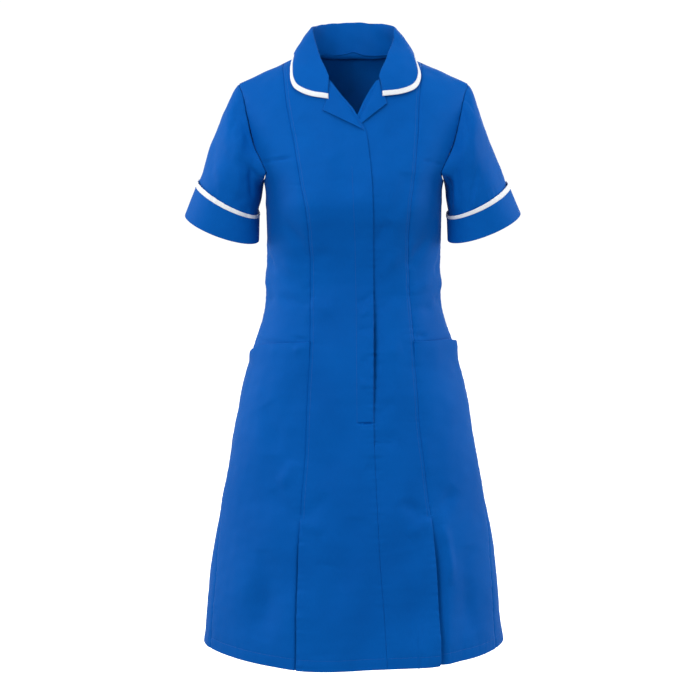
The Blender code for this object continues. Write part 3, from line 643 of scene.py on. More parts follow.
def plain(name, colour, roughness):
    made = bpy.data.materials.new(name)
    made.use_nodes = True
    shader = made.node_tree.nodes["Principled BSDF"]
    shader.inputs["Roughness"].default_value = roughness
    noise = node(made.node_tree, "TexNoise", {"Scale": 3000.0})
    ramp = node(made.node_tree, "ValToRGB", {"Fac": noise.outputs["Fac"]})
    ramp.color_ramp.elements[0].color = (*[0.82 * value for value in colour], 1)
    ramp.color_ramp.elements[1].color = (*colour, 1)
    made.node_tree.links.new(ramp.outputs["Color"], shader.inputs["Base Color"])
    return made


ROYAL_THREAD = plain("royal_thread", (0.006, 0.098, 0.42), 0.55)
WHITE_THREAD = plain("white_thread", (0.84, 0.85, 0.87), 0.55)


# ---- meshes ----

def sheet(name, points, measure, finish, wall=WALL, tube=False):
    """A piece of cloth through a grid of points, thickened inwards, with its own measure as a map."""
    rows, columns = points.shape[:2]
    index = np.arange(rows * columns).reshape(rows, columns)
    if tube:
        index = np.concatenate([index, index[:, :1]], axis=1)
        measure = np.concatenate([measure, measure[:, -1:] + measure[:, 1:2] - measure[:, :1]], axis=1)
    corners = [index[:-1, :-1], index[:-1, 1:], index[1:, 1:], index[1:, :-1]]
    faces = np.stack([corner.ravel() for corner in corners], 1)
    marks = [measure[:-1, :-1], measure[:-1, 1:], measure[1:, 1:], measure[1:, :-1]]
    marks = np.stack([mark.reshape(-1, 2) for mark in marks], 1)
    mesh = bpy.data.meshes.new(name)
    mesh.vertices.add(rows * columns)
    mesh.vertices.foreach_set("co", points.astype(np.float32).ravel())
    mesh.loops.add(faces.size)
    mesh.loops.foreach_set("vertex_index", faces.astype(np.int32).ravel())
    mesh.polygons.add(len(faces))
    mesh.polygons.foreach_set("loop_start", np.arange(0, faces.size, 4, dtype=np.int32))
    layer = mesh.uv_layers.new(name="cloth")
    layer.data.foreach_set("uv", marks.astype(np.float32).ravel())
    mesh.update(calc_edges=True)
    mesh.validate()
    mesh.shade_smooth()
    mesh.materials.append(finish)
    made = bpy.data.objects.new(name, mesh)
    bpy.context.scene.collection.objects.link(made)
    thick = made.modifiers.new("wall", "SOLIDIFY")
    thick.thickness = wall
    thick.offset = -1
    thick.thickness_clamp = 1.0
    return made


def stitches(name, paths, finish, pitch=3.0 * MM, long=2.4 * MM, radius=0.17 * MM):
    """Rows of stitches, each a short arched length of thread. A path is its points and normals."""
    sides = 5
    rings = np.linspace(0, 1, 4)
    verts, faces = [], []
    for line, normals in paths:
        gone = np.concatenate([[0], np.cumsum(np.linalg.norm(np.diff(line, axis=0), axis=1))])
        starts = np.arange(pitch / 2, gone[-1] - pitch, pitch)
        at = starts[:, None] + rings * long
        spots = np.stack([np.interp(at, gone, line[:, axis]) for axis in range(3)], -1)
        up = unit(np.stack([np.interp(at, gone, normals[:, axis]) for axis in range(3)], -1))
        spots = spots + up * (-0.12 + 0.36 * np.sin(np.pi * rings) ** 0.7)[None, :, None] * MM
        ahead_way = unit(spots[:, -1:] - spots[:, :1])
        across = unit(np.cross(ahead_way, up))
        turn = 2 * np.pi * np.arange(sides) / sides
        around = (across[:, :, None] * np.cos(turn)[:, None] + up[:, :, None] * np.sin(turn)[:, None])
        ring = spots[:, :, None] + around * radius
        base = sum(len(part) for part in verts)
        verts.append(ring.reshape(-1, 3))
        grid = base + np.arange(ring[..., 0].size).reshape(ring.shape[:3])
        after = np.roll(grid, -1, axis=2)
        quads = np.stack([grid[:, :-1], after[:, :-1], after[:, 1:], grid[:, 1:]], -1)
        faces.append(quads.reshape(-1, 4))
    points = np.concatenate(verts)
    faces = np.concatenate(faces)
    mesh = bpy.data.meshes.new(name)
    mesh.from_pydata(points.tolist(), [], faces.tolist())
    mesh.shade_smooth()
    mesh.materials.append(finish)
    made = bpy.data.objects.new(name, mesh)
    bpy.context.scene.collection.objects.link(made)
    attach(made, "root")
    return made


Grid = namedtuple("Grid", "points normals measure low high")


# ---- body panels ----

def ladder(x, behind=False):
    """Rows against distance up the body from the hem, at about this x."""
    rows = np.linspace(0, TOP_ROW, 1200)
    line = surface(rows, turn_of(rows, x, behind))
    return rows, np.concatenate([[0], np.cumsum(np.linalg.norm(np.diff(line, axis=0), axis=1))])


def edge_rows(start, end, low_return, high_return, dense=()):
    """Distances up a panel and the share of the fold's thickness, from inside the lower edge, round
    it, up the outside and round the upper edge."""
    fold = [depth for _, depth in EDGE]
    up = [start + low_return * part for part in (1.0, 0.7, 0.4)]
    up += [start + inset * MM for inset, _ in EDGE]
    inner = [start + inset * MM for inset in (2.0, 3.5, 5.5)]
    last = end - 4 * MM
    inner += list(np.linspace(start + 8 * MM, last, max(int((last - start) / CELL), 2)))
    inner += [value for value in dense if start + 9 * MM < value < last]
    inner += [end - 2.2 * MM]
    up += sorted(inner)
    up += [end - inset * MM for inset, _ in reversed(EDGE)]
    up += [end - high_return * part for part in (0.4, 0.7, 1.0)]
    deep = [1.0] * 3 + fold + [0.0] * len(inner) + fold[::-1] + [1.0] * 3
    return np.array(up), np.array(deep)


def edge_columns(low, high, low_return, high_return, spread):
    """The same across a panel, for every row: arc positions and shares of the fold's thickness.
    Also the distance of each column from the low and the high edge."""
    fold = [depth for _, depth in EDGE]
    insets = [inset for inset, _ in EDGE] + NEAR
    last = NEAR[-1] * MM
    arcs = [low + (low_return * part + EDGE_ROUND) for part in (1.0, 0.66, 0.33)]
    arcs += [low + inset * MM for inset in insets]
    arcs += [mix(low + last, high - last, share) for share in np.linspace(0, 1, spread + 2)[1:-1]]
    arcs += [high - inset * MM for inset in reversed(insets)]
    arcs += [high - high_return * part - EDGE_ROUND for part in (0.33, 0.66, 1.0)]
    depths = [1.0] * 3 + fold + [0.0] * (spread + 2 * len(NEAR)) + fold[::-1] + [1.0] * 3
    arcs = np.stack(arcs, 1)
    return arcs, np.array(depths), arcs - low[:, None], high[:, None] - arcs


class Ruler:
    """Arc length round each row, from straight ahead or straight behind."""

    def __init__(self, rows, centre):
        self.turns = np.linspace(centre - 180, centre + 180, 1441)
        curve = surface(rows[:, None], self.turns[None, :])
        steps = np.linalg.norm(np.diff(curve, axis=1), axis=2)
        total = np.concatenate([np.zeros((len(rows), 1)), np.cumsum(steps, axis=1)], axis=1)
        self.arcs = total - total[:, 720:721]

    def arc(self, turn):
        return np.array([np.interp(at, self.turns, line) for at, line in zip(turn, self.arcs)])

    def turn(self, arc):
        return np.array([np.interp(at, line, self.turns) for at, line in zip(arc, self.arcs)])


def sided_columns(side, inner, outer, inner_return, outer_return, spread):
    """edge_columns of a front panel; the distances come back as from its inner and its outer edge."""
    if side == LEFT:
        return edge_columns(inner, outer, inner_return, outer_return, spread)
    arcs, shares, low, high = edge_columns(outer, inner, outer_return, inner_return, spread)
    return arcs, shares, high, low


def finish_grid(row, turn, lift, depth, up, arcs, low, high, seams):
    """Points of a panel. seams are (distance, seed, strength, sink) of the seams that pucker it."""
    normals = outward(row, turn)
    base = surface(row, turn)
    moved = relief(base)
    for distance, seed, strength, sink in seams:
        away = np.maximum(distance, 0)
        moved = moved + strength * pucker(base[..., 2], seed) * np.exp(-away / 0.011)
        moved = moved - sink * np.exp(-away / 0.0026)
    points = base + normals * (lift + moved - depth * FOLD)[..., None]
    measure = np.stack([arcs, np.broadcast_to(up[:, None], arcs.shape)], -1)
    return Grid(points, normals, measure, low, high)


def hem_lift(lift, up, deep, arcs, seed):
    """A panel's lift with its hem's stitched groove and the puckers that the stitching draws in."""
    hem = up[:, None] + 0 * arcs
    lift = lift - 0.00025 * np.exp(-((hem - HEM_STITCH) / (1.2 * MM)) ** 2) * (deep[:, None] == 0)
    return lift + 0.0004 * pucker(arcs, seed) * np.exp(-((hem - 16 * MM) / (11 * MM)) ** 2)


def underarm_rows(ladder_rows, lengths):
    """Extra rows where the side seam becomes the armhole."""
    return list(np.interp(UNDERARM_ROW, ladder_rows, lengths) + np.arange(-4, 22, 1.5) * MM)


def uneven(level, table):
    """Strength of a seam's puckers at each level, from (level, strength) pairs."""
    keys = [key for key, _ in table]
    return np.interp(level, keys, [value for _, value in table])


CLOSURE_PUCKER = [(-0.99, 0.0004), (-0.7, 0.0007), (-0.6, 0.001), (-0.42, 0.001), (-0.3, 0.0004),
                  (-0.12, 0.0002)]
PRINCESS_PUCKER = [(-0.75, 0.0008), (-0.7, 0.0004), (-0.5, 0.0004), (-0.45, 0.0008), (-0.38, 0.0006),
                   (-0.3, 0.0004), (-0.1, 0.0003)]
PLAIN_PUCKER = [(-0.99, 0.0005), (-0.4, 0.0006), (-0.2, 0.0004), (0.05, 0.0003)]


def centre_front(side):
    ladder_rows, lengths = ladder(side * 0.09)
    bar = np.interp(CLOSURE_END, section(ladder_rows).level, lengths)
    dense = HEM_ROWS + list(bar + np.arange(-3, 3.5, 0.6) * MM)
    up, deep = edge_rows(0.0, lengths[-1], HEM_DEPTH, ALLOWANCE, dense)
    rows = np.interp(up, lengths, ladder_rows)
    ruler = Ruler(rows, 0)
    level = section(rows).level
    fold = princess(side, rows)
    inner = opening(side, rows)
    if side == LEFT:
        under = opening(RIGHT, rows) - UNDERLAP
        share = smooth((rows - CLOSURE_ROW) / 0.08) * (rows < BREAK_ROW - 1)
        inner = np.where(rows < BREAK_ROW - 1, mix(opening(RIGHT, rows), under, share), inner)
    fold_arc = ruler.arc(turn_of(rows, fold)) - side * 0.00005
    inner_arc = ruler.arc(turn_of(rows, inner))
    pleated = smooth((PLEAT_ROW + 0.05 - rows) / 0.12)
    outer_return = mix(ALLOWANCE, PLEAT_DEPTH, pleated)
    closing = smooth((rows - CLOSURE_ROW) / 0.08) * smooth((12.6 - rows) / 0.6)
    inner_return = mix(ALLOWANCE, FACING if side == RIGHT else 12 * MM, closing)
    arcs, shares, inner_gap, outer_gap = sided_columns(side, inner_arc, fold_arc, inner_return,
                                                       outer_return, 38 if side == RIGHT else 52)
    turn = ruler.turn(arcs)
    row = np.broadcast_to(rows[:, None], turn.shape)
    x = surface(row, turn)[..., 0]
    lift = centre_lift(side, row, x)
    # the pleat's fold is softer, and stands off, towards the hem
    depth = shares[None, :] * (1 + 0.5 * pleated[:, None] * (outer_gap < inner_gap)) + deep[:, None]
    level = level[:, None]
    stitch = np.exp(-((outer_gap - STITCH_INSET) / (0.9 * MM)) ** 2)
    lift = lift - 0.00022 * stitch * (rows[:, None] > PLEAT_ROW - 0.05)
    sunk = SEAM_SINK * (1 - pleated[:, None])
    closure_gap = np.abs(x - opening(RIGHT, row)) if side == LEFT else inner_gap
    inner_sink = 0.0005 * smooth((CLOSURE_ROW + 0.1 - row) / 0.1)
    seams = [(outer_gap, PRINCESS_SEED[side], uneven(level, PRINCESS_PUCKER), sunk),
             (closure_gap, 17, uneven(level, CLOSURE_PUCKER), inner_sink)]
    lift = hem_lift(lift, up, deep, arcs, 23)
    return finish_grid(row, turn, lift, depth, up, arcs, outer_gap, inner_gap, seams)


def side_front(side):
    ladder_rows, lengths = ladder(side * 0.13)
    start = np.interp(CLOSURE_ROW + 0.4, ladder_rows, lengths)
    dense = underarm_rows(ladder_rows, lengths)
    up, deep = edge_rows(start, lengths[-1], ALLOWANCE, ALLOWANCE, dense)
    rows = np.interp(up, lengths, ladder_rows)
    ruler = Ruler(rows, 0)
    level = section(rows).level[:, None]
    hidden = smooth((POCKET_ROW + 0.02 - rows) / 0.08)
    inner = ruler.arc(turn_of(rows, princess(side, rows))) + side * (-0.0003 + 0.0023 * hidden)
    outer = ruler.arc(side * side_angle(rows, "front")) - side * (0.0001 + 0.002 * hidden)
    wide = np.full(len(rows), ALLOWANCE)
    arcs, shares, inner_gap, outer_gap = sided_columns(side, inner, outer, wide, wide, 14)
    turn = ruler.turn(arcs)
    row = np.broadcast_to(rows[:, None], turn.shape)
    lift = -0.0014 * hidden[:, None] + 0 * turn
    depth = shares[None, :] + deep[:, None]
    outer_sink = np.where(row > UNDERARM_ROW - 0.3, ARMHOLE_SINK, SEAM_SINK)
    seams = [(inner_gap, PRINCESS_SEED[side], uneven(level, PRINCESS_PUCKER), SEAM_SINK),
             (outer_gap, 29 + side, uneven(level, PLAIN_PUCKER), outer_sink)]
    return finish_grid(row, turn, lift, depth, up, arcs, inner_gap, outer_gap, seams)


PLEAT_DIVE = {RIGHT: 0.0055, LEFT: 0.017}  # the underlay goes down over this far beside the fold
PLEAT_SHADE = {RIGHT: 0.01, LEFT: 0.011}  # and this much deeper, below the pleats' tops


def side_skirt(side):
    ladder_rows, lengths = ladder(side * 0.15)
    hip = np.interp(HIP_ROW, ladder_rows, lengths)
    up, deep = edge_rows(0.0, hip, HEM_DEPTH, 0.0, HEM_ROWS)
    keep = len(EDGE) + 3
    up, deep = up[:-keep], deep[:-keep]
    rows = np.interp(up, lengths, ladder_rows)
    ruler = Ruler(rows, 0)
    pleated = smooth((PLEAT_ROW + 0.05 - rows) / 0.12)
    inner = ruler.arc(turn_of(rows, princess(side, rows) - side * PLEAT_DEPTH * pleated)) - side * 0.0005
    outer = ruler.arc(side * side_angle(rows, "front")) + side * 0.0004
    wide = np.full(len(rows), ALLOWANCE)
    narrow = mix(ALLOWANCE, 0.002, pleated)
    arcs, shares, inner_gap, outer_gap = sided_columns(side, inner, outer, narrow, wide, 50)
    turn = ruler.turn(arcs)
    row = np.broadcast_to(rows[:, None], turn.shape) + 0 * turn
    # the pocket's mouth: the rows above the hip end at its slant
    mouth_steps = np.concatenate([np.linspace(0, 0.92, 16)[1:], [0.96, 1, 1, 1, 1, 1, 1, 1, 0.85, 0.6]])
    mouth_inset = np.array([0] * 16 + [0.9, 0.35, 0.08, 0, 0.08, 0.35, 0.9, 1.0, 1.0]) * MM
    mouth_depth = np.array([0] * 17 + [0.07, 0.28, 0.5, 0.72, 0.93, 1, 1, 1])
    last_turn = np.abs(turn[-1])
    inner_turn = np.abs(turn_of(HIP_ROW, princess(side, HIP_ROW)))
    outer_turn = side_angle(np.float64(HIP_ROW), "front")
    share = (last_turn - inner_turn) / (outer_turn - inner_turn)
    mouth = read(POCKET_MOUTH, np.clip(share, 0, 1), WORD[side])
    tall = np.interp(mouth, ladder_rows, lengths) - hip
    more_row, more_turn, more_up = [], [], []
    for step, inset in zip(mouth_steps, mouth_inset):
        climb = np.maximum(step * tall - inset, 0)
        here = np.interp(hip + climb, lengths, ladder_rows)
        start = np.abs(turn_of(here, princess(side, here)))
        more_turn.append(side * mix(start, side_angle(here, "front"), share))
        more_row.append(here)
        more_up.append(hip + climb.mean())
    row = np.concatenate([row, np.array(more_row)])
    turn = np.concatenate([turn, np.array(more_turn)])
    count = len(mouth_steps)
    up = np.concatenate([up, more_up])
    deep = np.concatenate([deep, mouth_depth * 1.4])
    arcs, inner_gap, outer_gap = [np.concatenate([part, np.repeat(part[-1:], count, 0)])
                                  for part in (arcs, inner_gap, outer_gap)]
    climbed = np.concatenate([np.zeros(len(up) - count), mouth_steps])[:, None]
    gape = smooth((share[None, :] - 0.4) / 0.45) * (1 - 0.75 * smooth((share[None, :] - 0.86) / 0.14))
    stand = CLOTH + 2 * LAYER_GAP + POCKET_GAPE[side] * gape
    lift = stand * smooth(climbed)
    # the underlay of the pleat
    pleated = np.concatenate([pleated, np.zeros(count)])[:, None]
    level = section(row).level
    x = surface(row, turn)[..., 0]
    beside = side * (x - princess(side, row))
    joined = smooth((beside + 0.034) / 0.016)
    beneath = -(FOLD + 0.0011) - PLEAT_SHADE[side] * joined * smooth((-0.745 - level) / 0.09)
    dive = 1 - smooth((beside + 0.001) / PLEAT_DIVE[side])
    rise = PLEAT_RISE[side] * smooth((PLEAT_ROW + 0.4 - row) / 2.4)
    close = np.exp(-((beside - PLEAT_DIVE[side]) / 0.014) ** 2)
    lift = lift + pleated * (beneath * dive + rise * (0.75 * dive + 0.35 * close))
    depth = shares[None, :] * np.where(inner_gap < outer_gap, 1 - pleated, 1) + deep[:, None]
    seams = [(inner_gap, PRINCESS_SEED[side], uneven(level, PRINCESS_PUCKER) * (1 - pleated),
              SEAM_SINK * (1 - pleated)),
             (outer_gap, 29 + side, uneven(level, PLAIN_PUCKER), SEAM_SINK)]
    lift = hem_lift(lift, up, deep, arcs, 23)
    return finish_grid(row, turn, lift, depth, up, arcs, inner_gap, outer_gap, seams)


def back_panel():
    ladder_rows, lengths = ladder(0.12, True)
    dense = HEM_ROWS + underarm_rows(ladder_rows, lengths)
    up, deep = edge_rows(0.0, lengths[-1], HEM_DEPTH, ALLOWANCE, dense)
    rows = np.interp(up, lengths, ladder_rows)
    ruler = Ruler(rows, 180)
    knot = 3 / 8
    neck_x, neck_y = COLLAR[SHOULDER_STATION].seam_x, COLLAR[0].seam_y
    middle = SECTIONS[-1].middle
    edge = 180 - side_angle(rows, "back")
    edge_arc = ruler.arc(180 + edge) + 0.0004
    wide = np.full(len(rows), ALLOWANCE)
    arcs, shares, low, high = edge_columns(-edge_arc, edge_arc, wide, wide, 76)
    spread = arcs / edge_arc[:, None]
    turn = ruler.turn(arcs)
    # towards the shoulders the columns gather to the neckline's ends
    across = np.clip(np.abs(spread), 0, 1)
    neck_deep = (neck_y - middle) * np.sqrt(np.clip(1 - (across[-1] / knot) ** 2, 0, 1))
    neck_out = neck_x * np.clip(across[-1] / knot, 0, 1)
    top = row_where(lambda r: -surface(r, turn_of(r, neck_out, True))[..., 1], -middle - neck_deep,
                    9, TOP_ROW)
    top = np.where(across[-1] < knot, top, TOP_ROW)
    warp = np.clip((rows - 12) / (TOP_ROW - 12), 0, 1)[:, None]
    row = np.where(rows[:, None] > 12, 12 + (top[None, :] - 12) * warp, rows[:, None])
    share = smooth((rows - 11) / 5)[:, None]
    at_neck = 180 - turn_of(row, neck_x, True)
    by_x = 180 - np.abs(turn_of(row, neck_out[None, :], True))
    outer = 180 - side_angle(row, "back")
    plain_angle = np.abs(turn - 180)
    inside = mix(plain_angle, by_x, share)
    outside = mix(plain_angle, mix(at_neck, outer, (across - knot) / (1 - knot)), share)
    angle = np.where(across < knot, inside, outside)
    turn = 180 + np.sign(spread) * angle
    level = section(row).level
    depth = shares[None, :] + deep[:, None]
    sink = np.where(row > UNDERARM_ROW - 0.3, ARMHOLE_SINK, SEAM_SINK)
    seams = [(low, 28, uneven(level, PLAIN_PUCKER), sink),
             (high, 30, uneven(level, PLAIN_PUCKER), sink)]
    lift = hem_lift(0 * turn, up, deep, arcs, 27)
    return finish_grid(row, turn, lift, depth, up, arcs, low, high, seams)


# ---- sleeves and cuffs ----

SleeveCrease = namedtuple("SleeveCrease", "share0 along0 share1 along1 width depth")
SLEEVE_CREASES = {side: [SleeveCrease(*row) for row in rows] for side, rows in {
    RIGHT: [
        (0.4, 0.1, 0.33, 1.3, 0.009, -0.0022), (0.3, 0.3, 0.22, 2.3, 0.011, 0.002),
        (0.2, 0.2, 0.12, 2.1, 0.009, -0.0026), (0.12, 0.6, 0.28, 1.6, 0.008, -0.0018),
        (0.44, 1.8, 0.34, 2.8, 0.01, -0.0016), (0.6, 0.2, 0.66, 1.9, 0.011, -0.0024),
        (0.72, 0.4, 0.8, 2.3, 0.011, 0.0022), (0.86, 0.3, 0.92, 1.9, 0.009, -0.0024)],
    LEFT: [
        (0.115, 0.25, 0.085, 2.5, 0.006, -0.0042), (0.155, 0.3, 0.125, 2.6, 0.008, 0.0026),
        (0.39, 0.05, 0.36, 0.6, 0.005, 0.002), (0.43, 0.05, 0.41, 0.75, 0.005, -0.0016),
        (0.35, 0.2, 0.27, 1.5, 0.01, -0.0022), (0.3, 1.9, 0.2, 2.85, 0.007, -0.0022),
        (0.26, 2.3, 0.22, 2.95, 0.005, 0.0018), (0.6, 0.2, 0.67, 1.8, 0.011, -0.0022),
        (0.75, 0.4, 0.82, 2.2, 0.011, 0.0024), (0.87, 0.3, 0.93, 2.0, 0.009, -0.0024)],
}.items()}


def armhole_curve(side, shares):
    """Points of the armhole seam: share 0 is the underarm, a half the top, and then down the back."""
    last = len(ARMHOLE_ROWS) - 1
    rows = np.array(ARMHOLE_ROWS + ARMHOLE_ROWS[-2::-1], float)
    angle = np.where(np.arange(2 * last + 1) <= last, side_angle(rows, "front"), side_angle(rows, "back"))
    angle[0] = angle[-1] = 90
    knots = surface(rows, side * angle)
    lengths = np.linalg.norm(np.diff(knots, axis=0), axis=1)
    front, behind = lengths[:last], lengths[last:]
    marks = np.concatenate([[0], 0.5 * np.cumsum(front) / front.sum(),
                            0.5 + 0.5 * np.cumsum(behind) / behind.sum()])
    row = np.interp(shares, marks, rows)
    front_angle = np.where(row <= 10.0001, 90, read(ARMHOLE, row, "front"))
    back_angle = np.where(row <= 10.0001, 90, read(ARMHOLE, row, "back"))
    points = surface(row, side * np.where(shares <= 0.5, front_angle, back_angle))
    return points + np.array([side * ARMHOLE_GAP, 0, 0])


def ring_curve(side, ring, shares):
    outer = np.array([side * ring.outer_x, ring.middle, ring.outer_z])
    inner = np.array([side * ring.inner_x, ring.middle, ring.inner_z])
    forward = np.array([0, -ring.half_depth, -ring.front_drop])
    angle = 2 * np.pi * shares[:, None]
    return (outer + inner) / 2 + (inner - outer) / 2 * np.cos(angle) + forward * np.sin(angle)


def sleeve_form(side, alongs, shares):
    """Grid of points of the arm's tube: along is 0 at the armhole and 4 at the cuff's lower edge."""
    seam = armhole_curve(side, shares)
    top = np.sin(np.pi * shares) ** 2
    inside = seam + np.stack([-side * (0.004 + 0.034 * top), 0 * top, 0.012 - 0.016 * top], 1)
    rings = [ring_curve(side, ring, shares) for ring in SLEEVE_RINGS[side]]
    line = [inside, seam] + rings + [2 * rings[-1] - rings[-2]]
    made = []
    for along in alongs:
        start = min(int(along), len(rings) - 1)
        made.append(spline(along - start, *line[start:start + 4]))
    return np.array(made)


def tube_normals(side, points):
    around = np.roll(points, -1, 1) - np.roll(points, 1, 1)
    down = np.gradient(points, axis=0)
    return unit(np.cross(down, around) * side)


def arm_band(side, alongs, deeps, lift, seed, heads=False):
    """Grid of a band round the arm, from the upper end down."""
    count = 150
    shares = np.arange(count) / count
    plain_alongs = np.linspace(0, CUFF_END, 60)
    form = sleeve_form(side, plain_alongs, shares)
    form_normals = tube_normals(side, form)
    at = np.minimum(alongs, CUFF_END)
    index = np.clip((at / CUFF_END * 59).astype(int), 0, 58)
    part = np.clip(at / CUFF_END * 59 - index, 0, 1)[:, None, None]
    normals = unit(mix(form_normals[index], form_normals[index + 1], part))
    points = sleeve_form(side, at, shares) - np.array([side * (ARMHOLE_GAP - 0.0002), 0, 0])
    moved = np.zeros(points.shape[:2])
    around = shares[None, :] + 0 * moved
    down = at[:, None] + 0 * moved
    for crease in SLEEVE_CREASES[side]:
        ends = np.array([[crease.share0 * 0.4, crease.along0 * 0.055],
                         [crease.share1 * 0.4, crease.along1 * 0.055]])
        spot = np.stack([around * 0.4, down * 0.055], -1)
        step = ends[1] - ends[0]
        share = np.clip((spot - ends[0]) @ step / (step @ step), 0, 1)
        gap = np.linalg.norm(spot - ends[0] - share[..., None] * step, axis=-1)
        taper = np.sin(np.pi * np.clip(share, 0.02, 0.98)) ** 0.5
        moved += crease.depth * taper * np.exp(-(gap / crease.width) ** 2)
    moved += 0.0008 * waves(points, 0.07, seed) + 0.0002 * waves(points, 0.022, seed + 1)
    moved *= smooth((CUFF_TOP + 0.4 - down) / 0.6) * 0.75 + 0.25
    if heads:
        ease = np.exp(-down / 0.35) * np.exp(-((around - 0.5) / 0.2) ** 2)
        moved += 0.001 * ease * pucker(around * 0.45, seed + 2)
        moved -= 0.0007 * np.exp(-down / 0.05)
    # puckers where the cuff is sewn on and at its binding
    sewn = np.exp(-((down - CUFF_TOP) / 0.22) ** 2)
    moved += 0.0005 * sewn * pucker(around * 0.36, 41 + side)
    points = points + normals * (lift + moved - deeps[:, None])[..., None]
    wide = np.linalg.norm(np.diff(points[-1], axis=0), axis=1).sum()
    measure = np.stack([around * wide, -down * 0.058], -1)
    return Grid(points, normals, measure, down, around)


def sleeve_grid(side):
    lower = np.linspace(0.09, 3.95, 66)
    alongs = np.concatenate([[-0.11, -0.06, -0.03, -0.01, 0.004, 0.014, 0.028, 0.045, 0.065], lower])
    deeps = np.concatenate([np.array([1.5, 1.45, 1.3, 1.0, 0.65, 0.36, 0.14, 0.03, 0]) * FOLD, 0 * lower])
    return arm_band(side, alongs, deeps, 0.0, 51 + side, heads=True)


def cuff_grid(side):
    end = CUFF_END - 0.002
    start = CUFF_TOP + 0.03
    outside = np.linspace(start, end - 0.02, 26)
    turned = np.array([end - 0.006, end - 0.001, end, end - 0.001, end - 0.006, end - 0.02])
    inside = np.linspace(end - 0.05, end - 0.5, 8)
    alongs = np.concatenate([outside, turned, inside])
    deeps = np.concatenate([0 * outside, np.array([0.12, 0.4, 0.95, 1.5, 1.78, 1.9]) * MM,
                            0 * inside + 1.9 * MM])
    return arm_band(side, alongs, deeps, CUFF_LIFT + 0.0004, 61 + side)


def cuff_binding_grid(side):
    shares = np.array([1.0, 0.995, 0.94, 0.8, 0.6, 0.4, 0.2, 0.07, 0.015, 0, 0.02, 0.1, 0.3, 0.6, 0.9])
    alongs = CUFF_TOP + BINDING_SHARE * shares
    out = np.array([-0.2, 0.25, 0.5, 0.6, 0.62, 0.62, 0.6, 0.48, 0.2, -0.4, -1.0, -1.35, -1.5, -1.5, -1.5]) * MM
    return arm_band(side, alongs, -out, CUFF_LIFT + 0.0004, 61 + side)


# ---- collar and lapels ----

def collar_line(station, side):
    """The collar at one station: stand, roll and fall, from the neck seam to the outer edge."""
    seam = over(side * station.seam_x, station.seam_y, 0.0008)
    roll = np.array([side * station.roll_x, station.roll_y, seam[2] + station.stand])
    turn = COLLAR_TURN * smooth(-station.edge_y / 0.05)
    edge = over(side * station.edge_x + turn, station.edge_y + side * turn / 2, COLLAR_LIFT)
    away = unit((edge - roll) * np.array([1, 1, 0]))
    height = np.array([0, 0, ROLL_RADIUS])
    inner = roll - height
    outer = roll + away * 2 * ROLL_RADIUS - height
    bulge = min(COLLAR_BULGE, BULGE_SHARE * np.linalg.norm(edge - outer))
    control = mix(outer, edge, 0.45) + (away * 0.6 + np.array([0, 0, 0.8])) * bulge
    fall = [outer * (1 - share) ** 2 + control * 2 * share * (1 - share) + edge * share ** 2
            for share in (0.33, 0.67, 1.0)]
    facing = over(side * station.seam_x * 1.09, station.seam_y * 1.08, -0.0024)
    return [facing, seam - [0, 0, 0.0008], mix(seam, inner, 0.5), inner, roll + away * ROLL_RADIUS,
            outer] + fall


def collar_grid():
    """Fine grid of the whole collar: columns along it, rows from the neck seam to the outer edge."""
    last = len(COLLAR) - 1
    lines = [collar_line(COLLAR[abs(step)], -1 if step < 0 else 1) for step in range(-last, last + 1)]
    lines = np.array(lines)
    rise = lines[last, :2, 2] - lines[last + 1, :2, 2]
    lines[last, :2, 2] -= 0.8 * np.maximum(rise, 0)
    lines = refine(lines, 10)
    return refine(np.swapaxes(lines, 0, 1), 7)


def grid_normals(points, sign=1):
    return sign * unit(np.cross(np.gradient(points, axis=1), np.gradient(points, axis=0)))


def lengths_of(points, axis):
    steps = np.linalg.norm(np.diff(points, axis=axis), axis=2)
    start = np.zeros_like(np.take(steps, [0], axis=axis))
    return np.concatenate([start, np.cumsum(steps, axis=axis)], axis=axis)


def resample(points, places):
    """Points at these distances down each column of a grid. places is rows by columns."""
    down = lengths_of(points, 0)
    made = np.zeros((*places.shape, 3))
    for column in range(points.shape[1]):
        for axis in range(3):
            made[:, column, axis] = np.interp(places[:, column], down[:, column], points[:, column, axis])
    return made


def collar_pieces():
    form = collar_grid()
    form = form + grid_normals(form) * (0.00045 * waves(form, 0.035, 71))[..., None]
    total = lengths_of(form, 0)[-1]
    girth = lengths_of(form, 1)[-1]
    cut = total - 2.0 * MM
    shares = np.linspace(0, 1, 52)[:, None]
    body = resample(form, shares * cut[None, :])
    measure = np.stack([np.broadcast_to(girth[None, :], body.shape[:2]), shares * cut[None, :]], -1)
    collar = sheet("collar_cloth", body, measure, ROYAL, wall=1.2 * MM)
    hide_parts("collar")

    inset = np.array([8.6, 8.5, 8.1, 7.0, 5.4, 3.8, 2.2, 1.0, 0.3, 0.0, 0.3, 1.0, 3.0, 5.5, 8.0]) * MM
    out = np.array([-0.3, 0.25, 0.48, 0.58, 0.62, 0.62, 0.58, 0.45, 0.15, -0.55, -1.25, -1.55, -1.75,
                    -1.75, -1.75]) * MM
    base = resample(form, np.maximum(total[None, :] - inset[:, None], 0))
    normals = grid_normals(form)
    along_lines = lengths_of(form, 0)
    columns = np.arange(form.shape[1])
    nearest = [np.argmin(np.abs(along_lines - (total - step)[None, :]), axis=0) for step in inset]
    band_normals = np.array([normals[index, columns] for index in nearest])
    rough = 0.00018 * pucker(girth, 77)[None, :]
    band = base + band_normals * (out[:, None] + rough)[..., None]
    down = lengths_of(band, 0)
    measure = np.stack([np.broadcast_to(girth[None, :], band.shape[:2]), down], -1)
    binding = sheet("collar_binding_cloth", band, measure, WHITE, wall=0.35 * MM)
    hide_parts("collar_binding")
    stitch = base[2] + band_normals[2] * (out[2] + 0.0001)
    return collar, binding, (stitch[4:-4], band_normals[2][4:-4])


